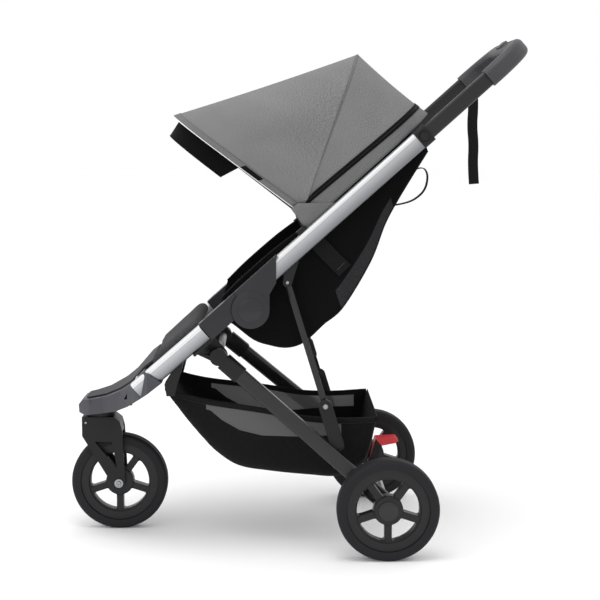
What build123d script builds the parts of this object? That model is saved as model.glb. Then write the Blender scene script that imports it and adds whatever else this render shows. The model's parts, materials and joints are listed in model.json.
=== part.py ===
from build123d import *
import math
import os

# Three-wheeled folding stroller. Millimetres. +X is the rider's left, -Y is the front, +Z is up.
# The origin is on the floor, under the middle of the whole object.

os.makedirs("parts", exist_ok=True)

# ---------------------------------------------------------------- driving dimensions
WHEEL_RADIUS = 100.0
TYRE_WIDTH = 42.0
TYRE_DEPTH = 19.0
AXLE_RADIUS = 6.0
REAR_HALF_TRACK = 259.0
REAR_AXLE_Y = 172.0
FRONT_AXLE_Y = -372.0

RAIL_HALF_SPACING = 195.0
RAIL_ANGLE = 41.8
RAIL_START = (-44.0, 564.0)
RAIL_HEIGHT = 36.0
RAIL_WIDTH = 22.0
RAIL_CORNER = 8.0
RAIL_WALL = 2.0
UPPER_RAIL_LENGTH = 370.0
LOWER_RAIL_TOP = -185.0
LOWER_RAIL_END = -372.0
LOWER_RAIL_TOE_IN = 0.28

HINGE_POINT = (-94.0, 484.5)
HINGE_DISC_RADIUS = 37.0
HINGE_PIN_RADIUS = 8.0
LEG_PIVOT = (-158.3, 386.1)
LEG_TOP_X = 165.0
LEG_FOOT_X = 224.0
LEG_HEIGHT = 30.0
LEG_WIDTH = 24.0
STRUT_TOP = (-22.1, 535.9)
STRUT_FOOT = (52.4, 290.8)
STRUT_X = 186.0
STRUT_THICKNESS = 5.0
STRUT_WIDTH = 12.0

HANDLE_BAR = 638.0
HANDLE_OVERLAP = 130.0
HANDLE_CORNER = 80.0
TUBE_HEIGHT = 30.0
TUBE_WIDTH = 16.0
TUBE_WALL = 1.5
GRIP_HEIGHT = 37.0
GRIP_WIDTH = 34.0
GRIP_CORNER = 12.0

CANOPY_PIVOT = (6.4, 669.0)
CANOPY_HALF_WIDTH = 186.0
CANOPY_RADIUS = 331.0
CANOPY_FRONT_ANGLE = 143.3
CANOPY_MID_ANGLE = 70.0
CANOPY_REAR_ANGLE = 45.5
CANOPY_SHOULDER = 115.0
CANOPY_CLOTH = 2.0
VISOR_WIDTH = 40.0

SEAT_HALF_WIDTH = 171.0
SEAT_CLOTH = 5.0
FORK_PIVOT_Y = -410.0
STEM_RADIUS = 11.0

RUNNING = 0.05
SLIDING = 0.35
GAP = 0.4

# ---------------------------------------------------------------- helpers
COS = math.cos(math.radians(RAIL_ANGLE))
SIN = math.sin(math.radians(RAIL_ANGLE))


def on_rail(along, above=0.0):
    """The (Y, Z) of a point along the rail line and square above it."""
    return (RAIL_START[0] + along * COS - above * SIN, RAIL_START[1] + along * SIN + above * COS)


def rail_offsets(point):
    """How far a (Y, Z) point lies along the rail line and above it."""
    ahead = (point[0] - RAIL_START[0], point[1] - RAIL_START[1])
    return (ahead[0] * COS + ahead[1] * SIN, ahead[1] * COS - ahead[0] * SIN)


def shifted(point, distance, angle):
    """A (Y, Z) point moved by a distance in a direction given in degrees above +Y."""
    turn = math.radians(angle)
    return (point[0] + distance * math.cos(turn), point[1] + distance * math.sin(turn))


def prism(points, x0, x1):
    """A solid that has a (Y, Z) outline and runs from x0 to x1."""
    outline = Plane.YZ.offset(x0) * make_face(Polyline(*points, close=True))
    return extrude(outline, amount=x1 - x0, dir=(1, 0, 0))


def rod(point, radius, x0, x1):
    """A round bar along X."""
    return Pos((x0 + x1) / 2, point[0], point[1]) * Rot(0, 90, 0) * Cylinder(radius, x1 - x0)


def bar(start, end, width, height, corner):
    """A straight bar from start to end, with a rounded section that is width across X."""
    path = Vector(*end) - Vector(*start)
    plane = Plane(origin=start, x_dir=(1, 0, 0), z_dir=path)
    return extrude(plane * RectangleRounded(width, height, corner), amount=path.length)


def tube(start, end, width, height, corner, wall):
    """A hollow straight bar."""
    inside = bar(start, end, width - 2 * wall, height - 2 * wall, corner - wall)
    return bar(start, end, width, height, corner) - inside


def link(start, end, width, x0, x1):
    """A flat bar with round ends between two (Y, Z) points."""
    angle = math.degrees(math.atan2(end[1] - start[1], end[0] - start[0]))
    sides = [shifted(start, width / 2, angle + 90), shifted(end, width / 2, angle + 90)]
    sides += [shifted(end, width / 2, angle - 90), shifted(start, width / 2, angle - 90)]
    return prism(sides, x0, x1) + rod(start, width / 2, x0, x1) + rod(end, width / 2, x0, x1)


def band(points, thickness, x0, x1):
    """A bent sheet: the (Y, Z) points run along one face and the other is to their left."""
    other = []
    for i, point in enumerate(points):
        before = points[max(i - 1, 0)]
        after = points[min(i + 1, len(points) - 1)]
        back = math.atan2(point[1] - before[1], point[0] - before[0])
        ahead = math.atan2(after[1] - point[1], after[0] - point[0])
        back = ahead if i == 0 else back
        ahead = back if i == len(points) - 1 else ahead
        middle = (back + ahead) / 2
        reach = thickness / math.cos((ahead - back) / 2)
        other.append(shifted(point, reach, math.degrees(middle) + 90))
    return prism(points + other[::-1], x0, x1)


def mirrored(shape):
    """The right-hand copy of a left-hand shape."""
    return mirror(shape, about=Plane.YZ)


def both(shape):
    """A left-hand shape with its right-hand copy."""
    return Compound([*shape.solids(), *mirrored(shape).solids()])


def save(name, shape):
    """Write one node to its own file, moved so that the origin is under the middle of the object."""
    solids = [Pos(0, MIDDLE_SHIFT, 0) * solid for solid in shape.solids()]
    export_step(solids[0] if len(solids) == 1 else Compound(solids), f"parts/{name}.step")


def save_sides(name, left):
    """Write a left-hand node and its right-hand twin."""
    save(f"{name}_left", left)
    save(f"{name}_right", mirrored(left))


handle_reach = on_rail(HANDLE_BAR)[0] + GRIP_CORNER
handle_reach += (GRIP_WIDTH / 2 - GRIP_CORNER) * COS + (GRIP_HEIGHT / 2 - GRIP_CORNER) * SIN
MIDDLE_SHIFT = -(FRONT_AXLE_Y - WHEEL_RADIUS + handle_reach) / 2
print("moved back by", round(MIDDLE_SHIFT, 3))


# ---------------------------------------------------------------- rails
def lower_rail_x(along):
    """The lower rails toe in towards the nose."""
    return RAIL_HALF_SPACING + (along - LOWER_RAIL_TOP) * LOWER_RAIL_TOE_IN


def lower_rail_point(along):
    """A point on the middle line of the left lower rail."""
    return (lower_rail_x(along), *on_rail(along))


RAIL_SECTION = (RAIL_WIDTH, RAIL_HEIGHT, RAIL_CORNER)
lower_rail_envelope = bar(lower_rail_point(LOWER_RAIL_TOP), lower_rail_point(LOWER_RAIL_END), *RAIL_SECTION)
lower_rail = tube(
    lower_rail_point(LOWER_RAIL_TOP), lower_rail_point(LOWER_RAIL_END), *RAIL_SECTION, RAIL_WALL
)

rail_foot = (RAIL_HALF_SPACING, *on_rail(-RAIL_HEIGHT))
rail_head = (RAIL_HALF_SPACING, *on_rail(UPPER_RAIL_LENGTH))
ahead_of_rail = Pos(RAIL_HALF_SPACING, RAIL_START[0] - 100, RAIL_START[1]) * Box(60, 200, 200)
upper_rail = tube(rail_foot, rail_head, *RAIL_SECTION, RAIL_WALL) - ahead_of_rail

# ---------------------------------------------------------------- fold hinge
HOUSING_LIP = 2.0
HOUSING_HEIGHT = RAIL_HEIGHT / 2 + HOUSING_LIP
HOUSING_IN = RAIL_HALF_SPACING - 14.0
HOUSING_OUT = RAIL_HALF_SPACING + 19.0
HINGE_SPLIT = RAIL_HALF_SPACING + 5.0
HINGE_FACE = RAIL_HALF_SPACING + 21.0
TENON_LENGTH = 50.0
ACCESSORY_RADIUS = 7.0
ACCESSORY_DEPTH = 22.0
ACCESSORY_ALONG = -168.0
hinge_along = rail_offsets(HINGE_POINT)[0]

arm_outline = [
    on_rail(hinge_along - 2.2, HOUSING_HEIGHT),
    (RAIL_START[0], RAIL_START[1] + HOUSING_HEIGHT / COS),
    (RAIL_START[0], RAIL_START[1] - HOUSING_HEIGHT / COS),
    (HINGE_POINT[0] + HINGE_DISC_RADIUS, HINGE_POINT[1] + 30),
    (HINGE_POINT[0] + HINGE_DISC_RADIUS, HINGE_POINT[1]),
    HINGE_POINT,
    on_rail(hinge_along - 2.2, 0),
]
arm_outer = prism(arm_outline, HINGE_SPLIT + 0.2, HOUSING_OUT) + rod(
    HINGE_POINT, HINGE_DISC_RADIUS, HINGE_SPLIT + 0.2, HINGE_FACE
)
arm_inner = prism(arm_outline, HOUSING_IN, HINGE_SPLIT + 0.2)
arm_inner -= rod(HINGE_POINT, HINGE_DISC_RADIUS + 0.5, HOUSING_IN - 1, HINGE_SPLIT + 0.2)
tenon = bar(
    (RAIL_HALF_SPACING, *on_rail(-20)),
    (RAIL_HALF_SPACING, *on_rail(TENON_LENGTH)),
    RAIL_WIDTH - 2 * RAIL_WALL - GAP,
    RAIL_HEIGHT - 2 * RAIL_WALL - GAP,
    RAIL_CORNER - RAIL_WALL,
)
hinge_pin = rod(HINGE_POINT, HINGE_PIN_RADIUS, HOUSING_IN, HINGE_SPLIT + 1)
hinge_arm = arm_outer + arm_inner + tenon + hinge_pin
hinge_cover = rod(HINGE_POINT, 23.0, HINGE_FACE, HINGE_FACE + 1.5)

base_outline = [
    on_rail(LOWER_RAIL_TOP, -HOUSING_HEIGHT),
    on_rail(LOWER_RAIL_TOP, HOUSING_HEIGHT),
    on_rail(hinge_along - 2.8, HOUSING_HEIGHT),
    on_rail(hinge_along - 2.8, -5),
    on_rail(hinge_along - 22, -HOUSING_HEIGHT),
]
hinge_base = prism(base_outline, HOUSING_IN, HOUSING_OUT)
hinge_base -= rod(HINGE_POINT, HINGE_DISC_RADIUS + 1, HINGE_SPLIT - 0.2, HOUSING_OUT + 1)
hinge_base += rod(HINGE_POINT, HINGE_DISC_RADIUS - 1, HOUSING_IN, HINGE_SPLIT - 0.2)
hinge_base -= rod(HINGE_POINT, HINGE_PIN_RADIUS + RUNNING, HOUSING_IN - 1, HINGE_SPLIT + 1)
# The accessory bore opens upwards, square to the rail, so a bumper bar's pins drop into it from above.
accessory_middle = (HOUSING_IN + HOUSING_OUT) / 2
accessory_floor = Vector(accessory_middle, *on_rail(ACCESSORY_ALONG, HOUSING_HEIGHT - ACCESSORY_DEPTH))
accessory_mouth = Vector(accessory_middle, *on_rail(ACCESSORY_ALONG, HOUSING_HEIGHT))
accessory_plane = Plane(origin=accessory_floor, x_dir=(1, 0, 0), z_dir=accessory_mouth - accessory_floor)
hinge_base -= extrude(accessory_plane * Circle(ACCESSORY_RADIUS), amount=ACCESSORY_DEPTH + 1)
lower_rail -= hinge_base

# ---------------------------------------------------------------- rail collars and handle
COLLAR_LENGTH = 26.0
BUTTON_RADIUS = 9.0
BUTTON_ALONG = UPPER_RAIL_LENGTH + COLLAR_LENGTH / 2
BUTTON_FLOOR = RAIL_HALF_SPACING + TUBE_WIDTH / 2 + SLIDING + 1.0
COLLAR_OUT = RAIL_HALF_SPACING + 15.0
BUTTON_TRAVEL = 2.0

collar = bar(
    (RAIL_HALF_SPACING, *on_rail(UPPER_RAIL_LENGTH)),
    (RAIL_HALF_SPACING, *on_rail(UPPER_RAIL_LENGTH + COLLAR_LENGTH)),
    30.0,
    39.0,
    8.0,
)
collar -= bar(
    (RAIL_HALF_SPACING, *on_rail(UPPER_RAIL_LENGTH - 1)),
    (RAIL_HALF_SPACING, *on_rail(UPPER_RAIL_LENGTH + COLLAR_LENGTH + 1)),
    TUBE_WIDTH + 2 * SLIDING,
    TUBE_HEIGHT + 2 * SLIDING,
    6.0 + SLIDING,
)
button_centre = on_rail(BUTTON_ALONG)
collar -= rod(button_centre, BUTTON_RADIUS + SLIDING, BUTTON_FLOOR, COLLAR_OUT + 1)
handle_button = rod(button_centre, BUTTON_RADIUS, BUTTON_FLOOR + BUTTON_TRAVEL + 0.3, COLLAR_OUT + 2.5)


def handle_plane_point(x, along):
    """A point in the plane of the rails."""
    return Vector(x, *on_rail(along))


def handle_path(first_along):
    """The middle line of the handle: two arms and a crossbar, with round corners."""
    return FilletPolyline(
        handle_plane_point(RAIL_HALF_SPACING, first_along),
        handle_plane_point(RAIL_HALF_SPACING, HANDLE_BAR),
        handle_plane_point(-RAIL_HALF_SPACING, HANDLE_BAR),
        handle_plane_point(-RAIL_HALF_SPACING, first_along),
        radius=HANDLE_CORNER,
    )


def handle_sweep(first_along, width, height, corner):
    """A bent bar that follows the handle from first_along round to the other side."""
    start = handle_plane_point(RAIL_HALF_SPACING, first_along)
    plane = Plane(origin=start, x_dir=(1, 0, 0), z_dir=(0, COS, SIN))
    return sweep(plane * RectangleRounded(width, height, corner), path=handle_path(first_along))


handle_foot = UPPER_RAIL_LENGTH - HANDLE_OVERLAP
handle_solid = handle_sweep(handle_foot, TUBE_WIDTH, TUBE_HEIGHT, 6.0)
handle_tube = handle_solid - handle_sweep(
    handle_foot, TUBE_WIDTH - 2 * TUBE_WALL, TUBE_HEIGHT - 2 * TUBE_WALL, 6.0 - TUBE_WALL
)
GRIP_START = 549.0
handle_grip = handle_sweep(GRIP_START, GRIP_WIDTH, GRIP_HEIGHT, GRIP_CORNER) - handle_solid
boss_centre = handle_plane_point(0, HANDLE_BAR)
boss_plane = Plane(origin=boss_centre, x_dir=(1, 0, 0), z_dir=(0, -SIN, COS))
grip_boss = extrude(boss_plane.offset(GRIP_HEIGHT / 2 - 1) * RectangleRounded(60, 20, 8), amount=4)
handle_grip += grip_boss

# The wrist strap hangs from the right arm. Its route is chosen by hand.
STRAP_WIDTH = 22.0
STRAP_THICKNESS = 2.0
strap_route = [
    (-195.0, 386.0, 926.0),
    (-195.0, 388.5, 884.0),
    (-195.0, 385.5, 842.0),
    (-195.0, 390.0, 799.0),
    (-195.0, 388.0, 756.0),
    (-195.0, 391.5, 713.5),
]


def route_radii(route):
    """The bend radius at each inner point of a strap's route."""
    radii = []
    for before, point, after in zip(route, route[1:], route[2:]):
        first = Vector(*point) - Vector(*before)
        second = Vector(*after) - Vector(*point)
        half_turn = math.radians(first.get_angle(second)) / 2
        radii.append(0.45 * min(first.length, second.length) / math.tan(half_turn))
    return radii


strap_radii = route_radii(strap_route)
print("strap bend radii", [round(radius) for radius in strap_radii])
strap_path = FilletPolyline(*strap_route, radius=strap_radii)
strap_start = Plane(
    origin=strap_route[0], x_dir=(1, 0, 0), z_dir=Vector(*strap_route[1]) - Vector(*strap_route[0])
)
leash_strap = sweep(strap_start * Rectangle(STRAP_THICKNESS, STRAP_WIDTH), path=strap_path)
strap_volume = strap_path.length * STRAP_THICKNESS * STRAP_WIDTH
print("strap length", round(strap_path.length, 1), "volume ratio", round(leash_strap.volume / strap_volume, 4))
leash_strap -= handle_solid
leash_strap -= handle_sweep(GRIP_START, GRIP_WIDTH, GRIP_HEIGHT, GRIP_CORNER)

# ---------------------------------------------------------------- rear legs
rear_axle_point = (REAR_AXLE_Y, WHEEL_RADIUS)
leg_run = Vector(LEG_FOOT_X - LEG_TOP_X, REAR_AXLE_Y - LEG_PIVOT[0], WHEEL_RADIUS + 3 - LEG_PIVOT[1])


def on_leg(distance):
    """A point on the middle line of the left rear leg."""
    return Vector(LEG_TOP_X, *LEG_PIVOT) + leg_run.normalized() * distance


FOOT_RADIUS = 15.0
HEAD_RADIUS = 17.0
HEAD_IN = LEG_TOP_X - 12.5
HEAD_OUT = LEG_TOP_X + 14.5
LEG_SECTION = (LEG_WIDTH, LEG_HEIGHT, 7.0)
HUB_HALF = 17.0
foot_in = LEG_FOOT_X - 15.0
foot_out = REAR_HALF_TRACK - HUB_HALF - 0.5
leg_envelope = bar(on_leg(20), on_leg(leg_run.length), *LEG_SECTION)
leg_foot_envelope = rod(rear_axle_point, FOOT_RADIUS, foot_in, foot_out)
rear_leg = tube(on_leg(20), on_leg(leg_run.length), *LEG_SECTION, 1.8)
rear_leg -= rod(rear_axle_point, FOOT_RADIUS, foot_in - 20, foot_out + 20)
rear_leg = rear_leg.solids().sort_by(SortBy.VOLUME)[-1]
foot_sleeve = bar(on_leg(leg_run.length - 48), on_leg(leg_run.length - 8), LEG_WIDTH + 5, LEG_HEIGHT + 5, 9.0)
leg_foot = leg_foot_envelope + (foot_sleeve - rear_leg - leg_envelope)
leg_foot -= rod(rear_axle_point, AXLE_RADIUS, foot_in - 1, foot_out + 1)
head_sleeve = bar(on_leg(14), on_leg(58), LEG_WIDTH + 3, LEG_HEIGHT + 5, 8.0)
leg_head = rod(LEG_PIVOT, HEAD_RADIUS, HEAD_IN, HEAD_OUT) + head_sleeve
leg_head -= bar(on_leg(20), on_leg(80), *LEG_SECTION)
leg_head -= rod(LEG_PIVOT, 8.0 + RUNNING, HEAD_IN - 10, HEAD_OUT - 3)
axle_end = REAR_HALF_TRACK + HUB_HALF - 1
rear_axle = rod(rear_axle_point, AXLE_RADIUS, -axle_end, axle_end)

# ---------------------------------------------------------------- leg brackets under the lower rails
BRACKET_START = -236.0
BRACKET_END = -186.0
BRACKET_IN = HEAD_IN - 7.5
under_rail = -RAIL_HEIGHT / 2
bracket_plate = prism(
    [
        on_rail(BRACKET_START, under_rail),
        on_rail(BRACKET_END, under_rail),
        on_rail(BRACKET_END, under_rail - 6),
        on_rail(BRACKET_START, under_rail - 6),
    ],
    BRACKET_IN,
    RAIL_HALF_SPACING - 2,
)
bracket_cheek = prism(
    [
        on_rail(BRACKET_START, under_rail - 6),
        on_rail(BRACKET_END, under_rail - 6),
        shifted(LEG_PIVOT, 18.0, RAIL_ANGLE),
        LEG_PIVOT,
        shifted(LEG_PIVOT, 18.0, RAIL_ANGLE + 180),
    ],
    BRACKET_IN,
    HEAD_IN - 0.5,
)
leg_bracket = bracket_plate + bracket_cheek + rod(LEG_PIVOT, 18.0, BRACKET_IN, HEAD_IN - 0.5)
leg_bracket -= rod(LEG_PIVOT, 8.0, BRACKET_IN - 1, HEAD_IN + 1)
leg_pivot_shaft = rod(LEG_PIVOT, 8.0, -HEAD_OUT + 3.5, HEAD_OUT - 3.5)

# ---------------------------------------------------------------- struts
PIN_RADIUS = 4.0
STRUT_OUT = STRUT_X + STRUT_THICKNESS
TAB_THICKNESS = 6.0
strut = link(STRUT_TOP, STRUT_FOOT, STRUT_WIDTH, STRUT_X, STRUT_OUT)
strut += rod(STRUT_TOP, STRUT_WIDTH / 2 + 1.5, STRUT_X - 2, STRUT_OUT)
strut += rod(STRUT_FOOT, STRUT_WIDTH / 2 + 2, STRUT_X, STRUT_OUT)
strut -= rod(STRUT_FOOT, PIN_RADIUS + RUNNING, STRUT_X - 1, STRUT_OUT + 1)
tab_in = STRUT_OUT + 0.3
strut_tab = prism(
    [on_rail(4, under_rail), on_rail(44, under_rail), shifted(STRUT_TOP, 9.0, -20), shifted(STRUT_TOP, 9.0, 200)],
    tab_in,
    tab_in + TAB_THICKNESS,
)
strut_tab += rod(STRUT_TOP, 9.0, tab_in, tab_in + TAB_THICKNESS)

bracket_foot = (76.0, 214.0)
strut_bracket = link(STRUT_FOOT, bracket_foot, 27.0, tab_in, tab_in + 8)
strut_bracket -= leg_envelope
strut_bracket = strut_bracket.solids().sort_by(SortBy.VOLUME)[-1]
strut_bracket += rod(STRUT_FOOT, PIN_RADIUS, STRUT_X - 1, tab_in + 4)
strut_bracket += rod(STRUT_FOOT, 7.0, STRUT_X - 3, STRUT_X - 0.4)

LATCH_TRAVEL = 10.0
strut_angle = math.degrees(math.atan2(STRUT_FOOT[1] - STRUT_TOP[1], STRUT_FOOT[0] - STRUT_TOP[0]))
latch_top = shifted(STRUT_TOP, 178.0, strut_angle)
latch_foot = shifted(STRUT_TOP, 206.0, strut_angle)
strut_latch = mirrored(link(latch_top, latch_foot, 17.0, STRUT_X - 7, STRUT_X - 0.3))

# ---------------------------------------------------------------- nose, socket and tread
nose_outline = [
    on_rail(-322, -20.5),
    on_rail(-334, 20.5),
    (-338, 322),
    (-360, 306),
    (-392, 290),
    (-422, 282),
    (-444, 277),
    (-452, 268),
    (-451, 252),
    (-440, 248),
    (-405, 253),
    (-371, 262),
    (-344, 277),
    (-316, 298),
]
NOSE_REAR_HALF = 173.0
NOSE_FRONT_HALF = 58.0
nose_plan = [
    (NOSE_REAR_HALF, -260),
    (NOSE_REAR_HALF - 4, -300),
    (NOSE_FRONT_HALF + 40, -362),
    (NOSE_FRONT_HALF + 8, -400),
    (NOSE_FRONT_HALF, -430),
    (NOSE_FRONT_HALF - 20, -453),
]
plan_points = nose_plan + [(-x, y) for x, y in reversed(nose_plan)]
plan_block = extrude(make_face(Polyline(*plan_points, close=True)), amount=400)
front_nose = prism(nose_outline, -NOSE_REAR_HALF, NOSE_REAR_HALF) & plan_block
front_nose -= lower_rail_envelope
front_nose -= mirrored(lower_rail_envelope)
stem_top = 270.0
front_nose -= Pos(0, FORK_PIVOT_Y, 255) * Cylinder(STEM_RADIUS + GAP, 2 * (stem_top + 1 - 255))
rear_hollow = [on_rail(-300, 25), on_rail(-300, -30), on_rail(-338, -30), (-352, 290), on_rail(-348, 25)]
front_nose -= prism(rear_hollow, -118, 118)
front_nose = front_nose.solids().sort_by(SortBy.VOLUME)[-1]

tread_line = [(-440, 279.5), (-422, 282.8), (-392, 290.8), (-360, 306.8), (-338, 323), (-318, 345.3)]
tread_line += [(-306, 358.5), (-292, 369)]
tread_plan = [(120, -290), (116, -316), (78, -352), (48, -400), (34, -436)]
tread_points = tread_plan + [(-x, y) for x, y in reversed(tread_plan)]
tread_block = extrude(make_face(Polyline(*tread_points, close=True)), amount=420)
footrest_tread = band(tread_line, 3.0, -125, 125) & tread_block

SOCKET_RADIUS = 31.0
CROWN_TOP = 239.6
socket_base = CROWN_TOP + GAP
swivel_socket = Pos(0, FORK_PIVOT_Y, (socket_base + 262) / 2) * Cylinder(SOCKET_RADIUS, 262 - socket_base)
swivel_socket -= prism(nose_outline, -60, 60)
swivel_socket = swivel_socket.solids().sort_by(Axis.Z)[0]
swivel_socket -= Pos(0, FORK_PIVOT_Y, 255) * Cylinder(STEM_RADIUS + RUNNING, 60)

knob_y = -352.0
swivel_lock = Pos(0, knob_y, 263) * Cylinder(7.0, 8.0)
swivel_lock += Pos(0, knob_y - 6, 262) * Box(8, 16, 5)

# ---------------------------------------------------------------- front fork
BLADE_IN = TYRE_WIDTH / 2 + 4
BLADE_OUT = BLADE_IN + 8
front_axle_point = (FRONT_AXLE_Y, WHEEL_RADIUS)
blade_outline = [
    (-447, CROWN_TOP),
    (-447, 200),
    shifted(front_axle_point, 13.0, 212),
    shifted(front_axle_point, 13.0, 0),
    (-364, 212),
    (-369, 230),
    (-381, CROWN_TOP),
]
blade_window = [(-421, 188), (-385, 188), (-376, 132)]
blade = prism(blade_outline, BLADE_IN, BLADE_OUT) + rod(front_axle_point, 13.0, BLADE_IN, BLADE_OUT)
blade -= prism(blade_window, BLADE_IN - 1, BLADE_OUT + 1)
blade += rod(front_axle_point, 10.0, HUB_HALF + GAP, BLADE_IN)
crown_outline = [(-447, CROWN_TOP), (-447, 207), (-364.5, 207), (-369, 230), (-381, CROWN_TOP)]
front_fork = blade + mirrored(blade) + prism(crown_outline, -BLADE_IN, BLADE_IN)
front_fork += Pos(0, FORK_PIVOT_Y, (CROWN_TOP - 5 + stem_top) / 2) * Cylinder(STEM_RADIUS, stem_top - CROWN_TOP + 5)
front_fork -= rod(front_axle_point, AXLE_RADIUS, -60, 60)
front_axle = rod(front_axle_point, AXLE_RADIUS, -BLADE_OUT - 3, BLADE_OUT + 3)
front_axle += rod(front_axle_point, 9.0, BLADE_OUT, BLADE_OUT + 3)
front_axle += rod(front_axle_point, 9.0, -BLADE_OUT - 3, -BLADE_OUT)

# ---------------------------------------------------------------- wheels
RIM_RADIUS = WHEEL_RADIUS - TYRE_DEPTH
WINDOW_OUT = 61.0
WINDOW_IN = 29.0
SPOKE_WIDTH = 14.0
SPOKES = 5
HUB_RADIUS = 28.0


def tyre_solid():
    """A tyre round the X axis."""
    section = fillet(Rectangle(TYRE_DEPTH, TYRE_WIDTH).vertices().group_by(Axis.X)[-1], 9.0)
    section = Plane.XZ * Pos(RIM_RADIUS + TYRE_DEPTH / 2, 0) * section
    return Rot(0, 90, 0) * revolve(section, Axis.Z)


def rim_solid():
    """A rim round the X axis, with five windows and one spoke straight down."""
    windows = Circle(WINDOW_OUT) - Circle(WINDOW_IN)
    for i in range(SPOKES):
        spoke = Pos(WINDOW_OUT / 2, 0) * Rectangle(WINDOW_OUT, SPOKE_WIDTH)
        windows -= Rot(0, 0, -90 + 360 / SPOKES * i) * spoke
    windows = fillet(windows.vertices(), 4.0)
    rim = Cylinder(RIM_RADIUS, 34) - Cylinder(WINDOW_OUT + 3, 40) + Cylinder(WINDOW_OUT + 4, 24)
    rim += Cylinder(HUB_RADIUS, 2 * HUB_HALF)
    rim -= extrude(Plane.XY.offset(-30) * windows, amount=60)
    rim -= Cylinder(AXLE_RADIUS + RUNNING, 60)
    return Plane.YZ * rim


def save_wheel(place, centre):
    """Write the tyre and rim of one wheel."""
    save(f"tyre_{place}", Pos(*centre) * tyre_solid())
    save(f"rim_{place}", Pos(*centre) * rim_solid())


hub_cap = rod(rear_axle_point, 19.0, REAR_HALF_TRACK + HUB_HALF, REAR_HALF_TRACK + HUB_HALF + 3)

# ---------------------------------------------------------------- brake pedal
PEDAL_IN = -162.0
PEDAL_OUT = -204.0
brake_pedal = rod(rear_axle_point, 13.0, PEDAL_OUT, PEDAL_IN)
brake_pedal += prism([(163, 108), (176, 152), (222, 154), (227, 147), (222, 142), (190, 136), (182, 104)], PEDAL_OUT, PEDAL_IN)
brake_pedal -= rod(rear_axle_point, AXLE_RADIUS + RUNNING, PEDAL_OUT - 1, PEDAL_IN + 1)

# ---------------------------------------------------------------- canopy
MOUNT_RADIUS = 13.0
MOUNT_IN = CANOPY_HALF_WIDTH - CANOPY_CLOTH + 0.3
BOW_THICKNESS = 4.0
BOW_DEPTH = 10.0
BOW_DROP = 4.5
MID_BOW_HALF = MOUNT_IN - 0.4
FRONT_BOW_HALF = MID_BOW_HALF - BOW_THICKNESS - 0.6
VISOR_HALF = FRONT_BOW_HALF - BOW_THICKNESS - 0.5
CLOTH_START = 20.0
VISOR_START = 150.0


def fan_plane(angle):
    """A plane through the canopy pivots, with its Y direction at an angle above the rear."""
    turn = math.radians(angle)
    return Plane(
        origin=(0, *CANOPY_PIVOT), x_dir=(1, 0, 0), z_dir=(0, -math.sin(turn), math.cos(turn))
    )


def hoop(half_width, top, thickness, start, shoulder):
    """A flat U-shaped face, open towards the pivots."""
    outer = Pos(0, (start + top) / 2) * Rectangle(2 * half_width, top - start)
    outer = fillet(outer.vertices().group_by(Axis.Y)[-1], shoulder)
    inner_top = top - thickness
    inner = Pos(0, (start + inner_top) / 2) * Rectangle(2 * (half_width - thickness), inner_top - start)
    inner = fillet(inner.vertices().group_by(Axis.Y)[-1], shoulder - thickness)
    return outer - inner


def bow(half_width, angle, drop=0.0):
    """A bent flat strip with an eye at each pivot."""
    inset = CANOPY_HALF_WIDTH - half_width
    top = CANOPY_RADIUS - inset - BOW_DROP - drop
    face = hoop(half_width, top, BOW_THICKNESS, 0, CANOPY_SHOULDER - inset)
    strip = extrude(fan_plane(angle) * face, amount=BOW_DEPTH / 2, both=True)
    eye = rod(CANOPY_PIVOT, 9.0, half_width - BOW_THICKNESS, half_width)
    strip += eye + mirrored(eye)
    return strip - rod(CANOPY_PIVOT, PIN_RADIUS + RUNNING, -300, 300)


def cloth(half_width, thickness, start, first, second, drops=(0.0, 0.0)):
    """A sheet stretched between two angles of the fan, with each end's top dropped a little."""
    inset = CANOPY_HALF_WIDTH - half_width
    shoulder = CANOPY_SHOULDER - inset
    faces = []
    for angle, drop in zip((first, second), drops):
        top = CANOPY_RADIUS - inset - drop
        faces.append(fan_plane(angle) * hoop(half_width, top, thickness, start, shoulder))
    return loft(faces, ruled=True)


FRONT_DROP = 13.0
REAR_DROP = 13.0
FRONT_SPAN = (CANOPY_MID_ANGLE + 0.2, CANOPY_FRONT_ANGLE)
REAR_SPAN = (CANOPY_MID_ANGLE - 0.2, CANOPY_REAR_ANGLE)
canopy_front_panel = cloth(CANOPY_HALF_WIDTH, CANOPY_CLOTH, CLOTH_START, *FRONT_SPAN, (0.0, FRONT_DROP))
canopy_rear_panel = cloth(CANOPY_HALF_WIDTH, CANOPY_CLOTH, CLOTH_START, *REAR_SPAN, (0.0, REAR_DROP))
mid_bow = bow(MID_BOW_HALF, CANOPY_MID_ANGLE)
front_bow = bow(FRONT_BOW_HALF, CANOPY_FRONT_ANGLE - 1, FRONT_DROP)

visor_inset = CANOPY_HALF_WIDTH - VISOR_HALF
visor_top = CANOPY_RADIUS - visor_inset - BOW_DROP - FRONT_DROP
visor_shoulder = CANOPY_SHOULDER - visor_inset
visor_root = fan_plane(CANOPY_FRONT_ANGLE - 1)
visor_faces = [
    visor_root * hoop(VISOR_HALF, visor_top, CANOPY_CLOTH, VISOR_START, visor_shoulder),
    visor_root.offset(VISOR_WIDTH)
    * hoop(VISOR_HALF, visor_top - 3, CANOPY_CLOTH, VISOR_START + 18, visor_shoulder),
]
visor = loft(visor_faces, ruled=True)

STRIP_LOW = 21.0
STRIP_HIGH = 37.0
pivot_along, pivot_above = rail_offsets(CANOPY_PIVOT)
STRIP_START = pivot_along + math.sqrt(MOUNT_RADIUS**2 - (pivot_above - STRIP_HIGH) ** 2) + GAP
STRIP_END = 420.0
strip_plane = Plane(origin=(0, *on_rail(0, STRIP_LOW)), x_dir=(1, 0, 0), z_dir=(0, -SIN, COS))
strip_face = hoop(CANOPY_HALF_WIDTH, STRIP_END, CANOPY_CLOTH, STRIP_START, CANOPY_SHOULDER)
canopy_rear_strip = extrude(strip_plane * strip_face, amount=STRIP_HIGH - STRIP_LOW)

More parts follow.
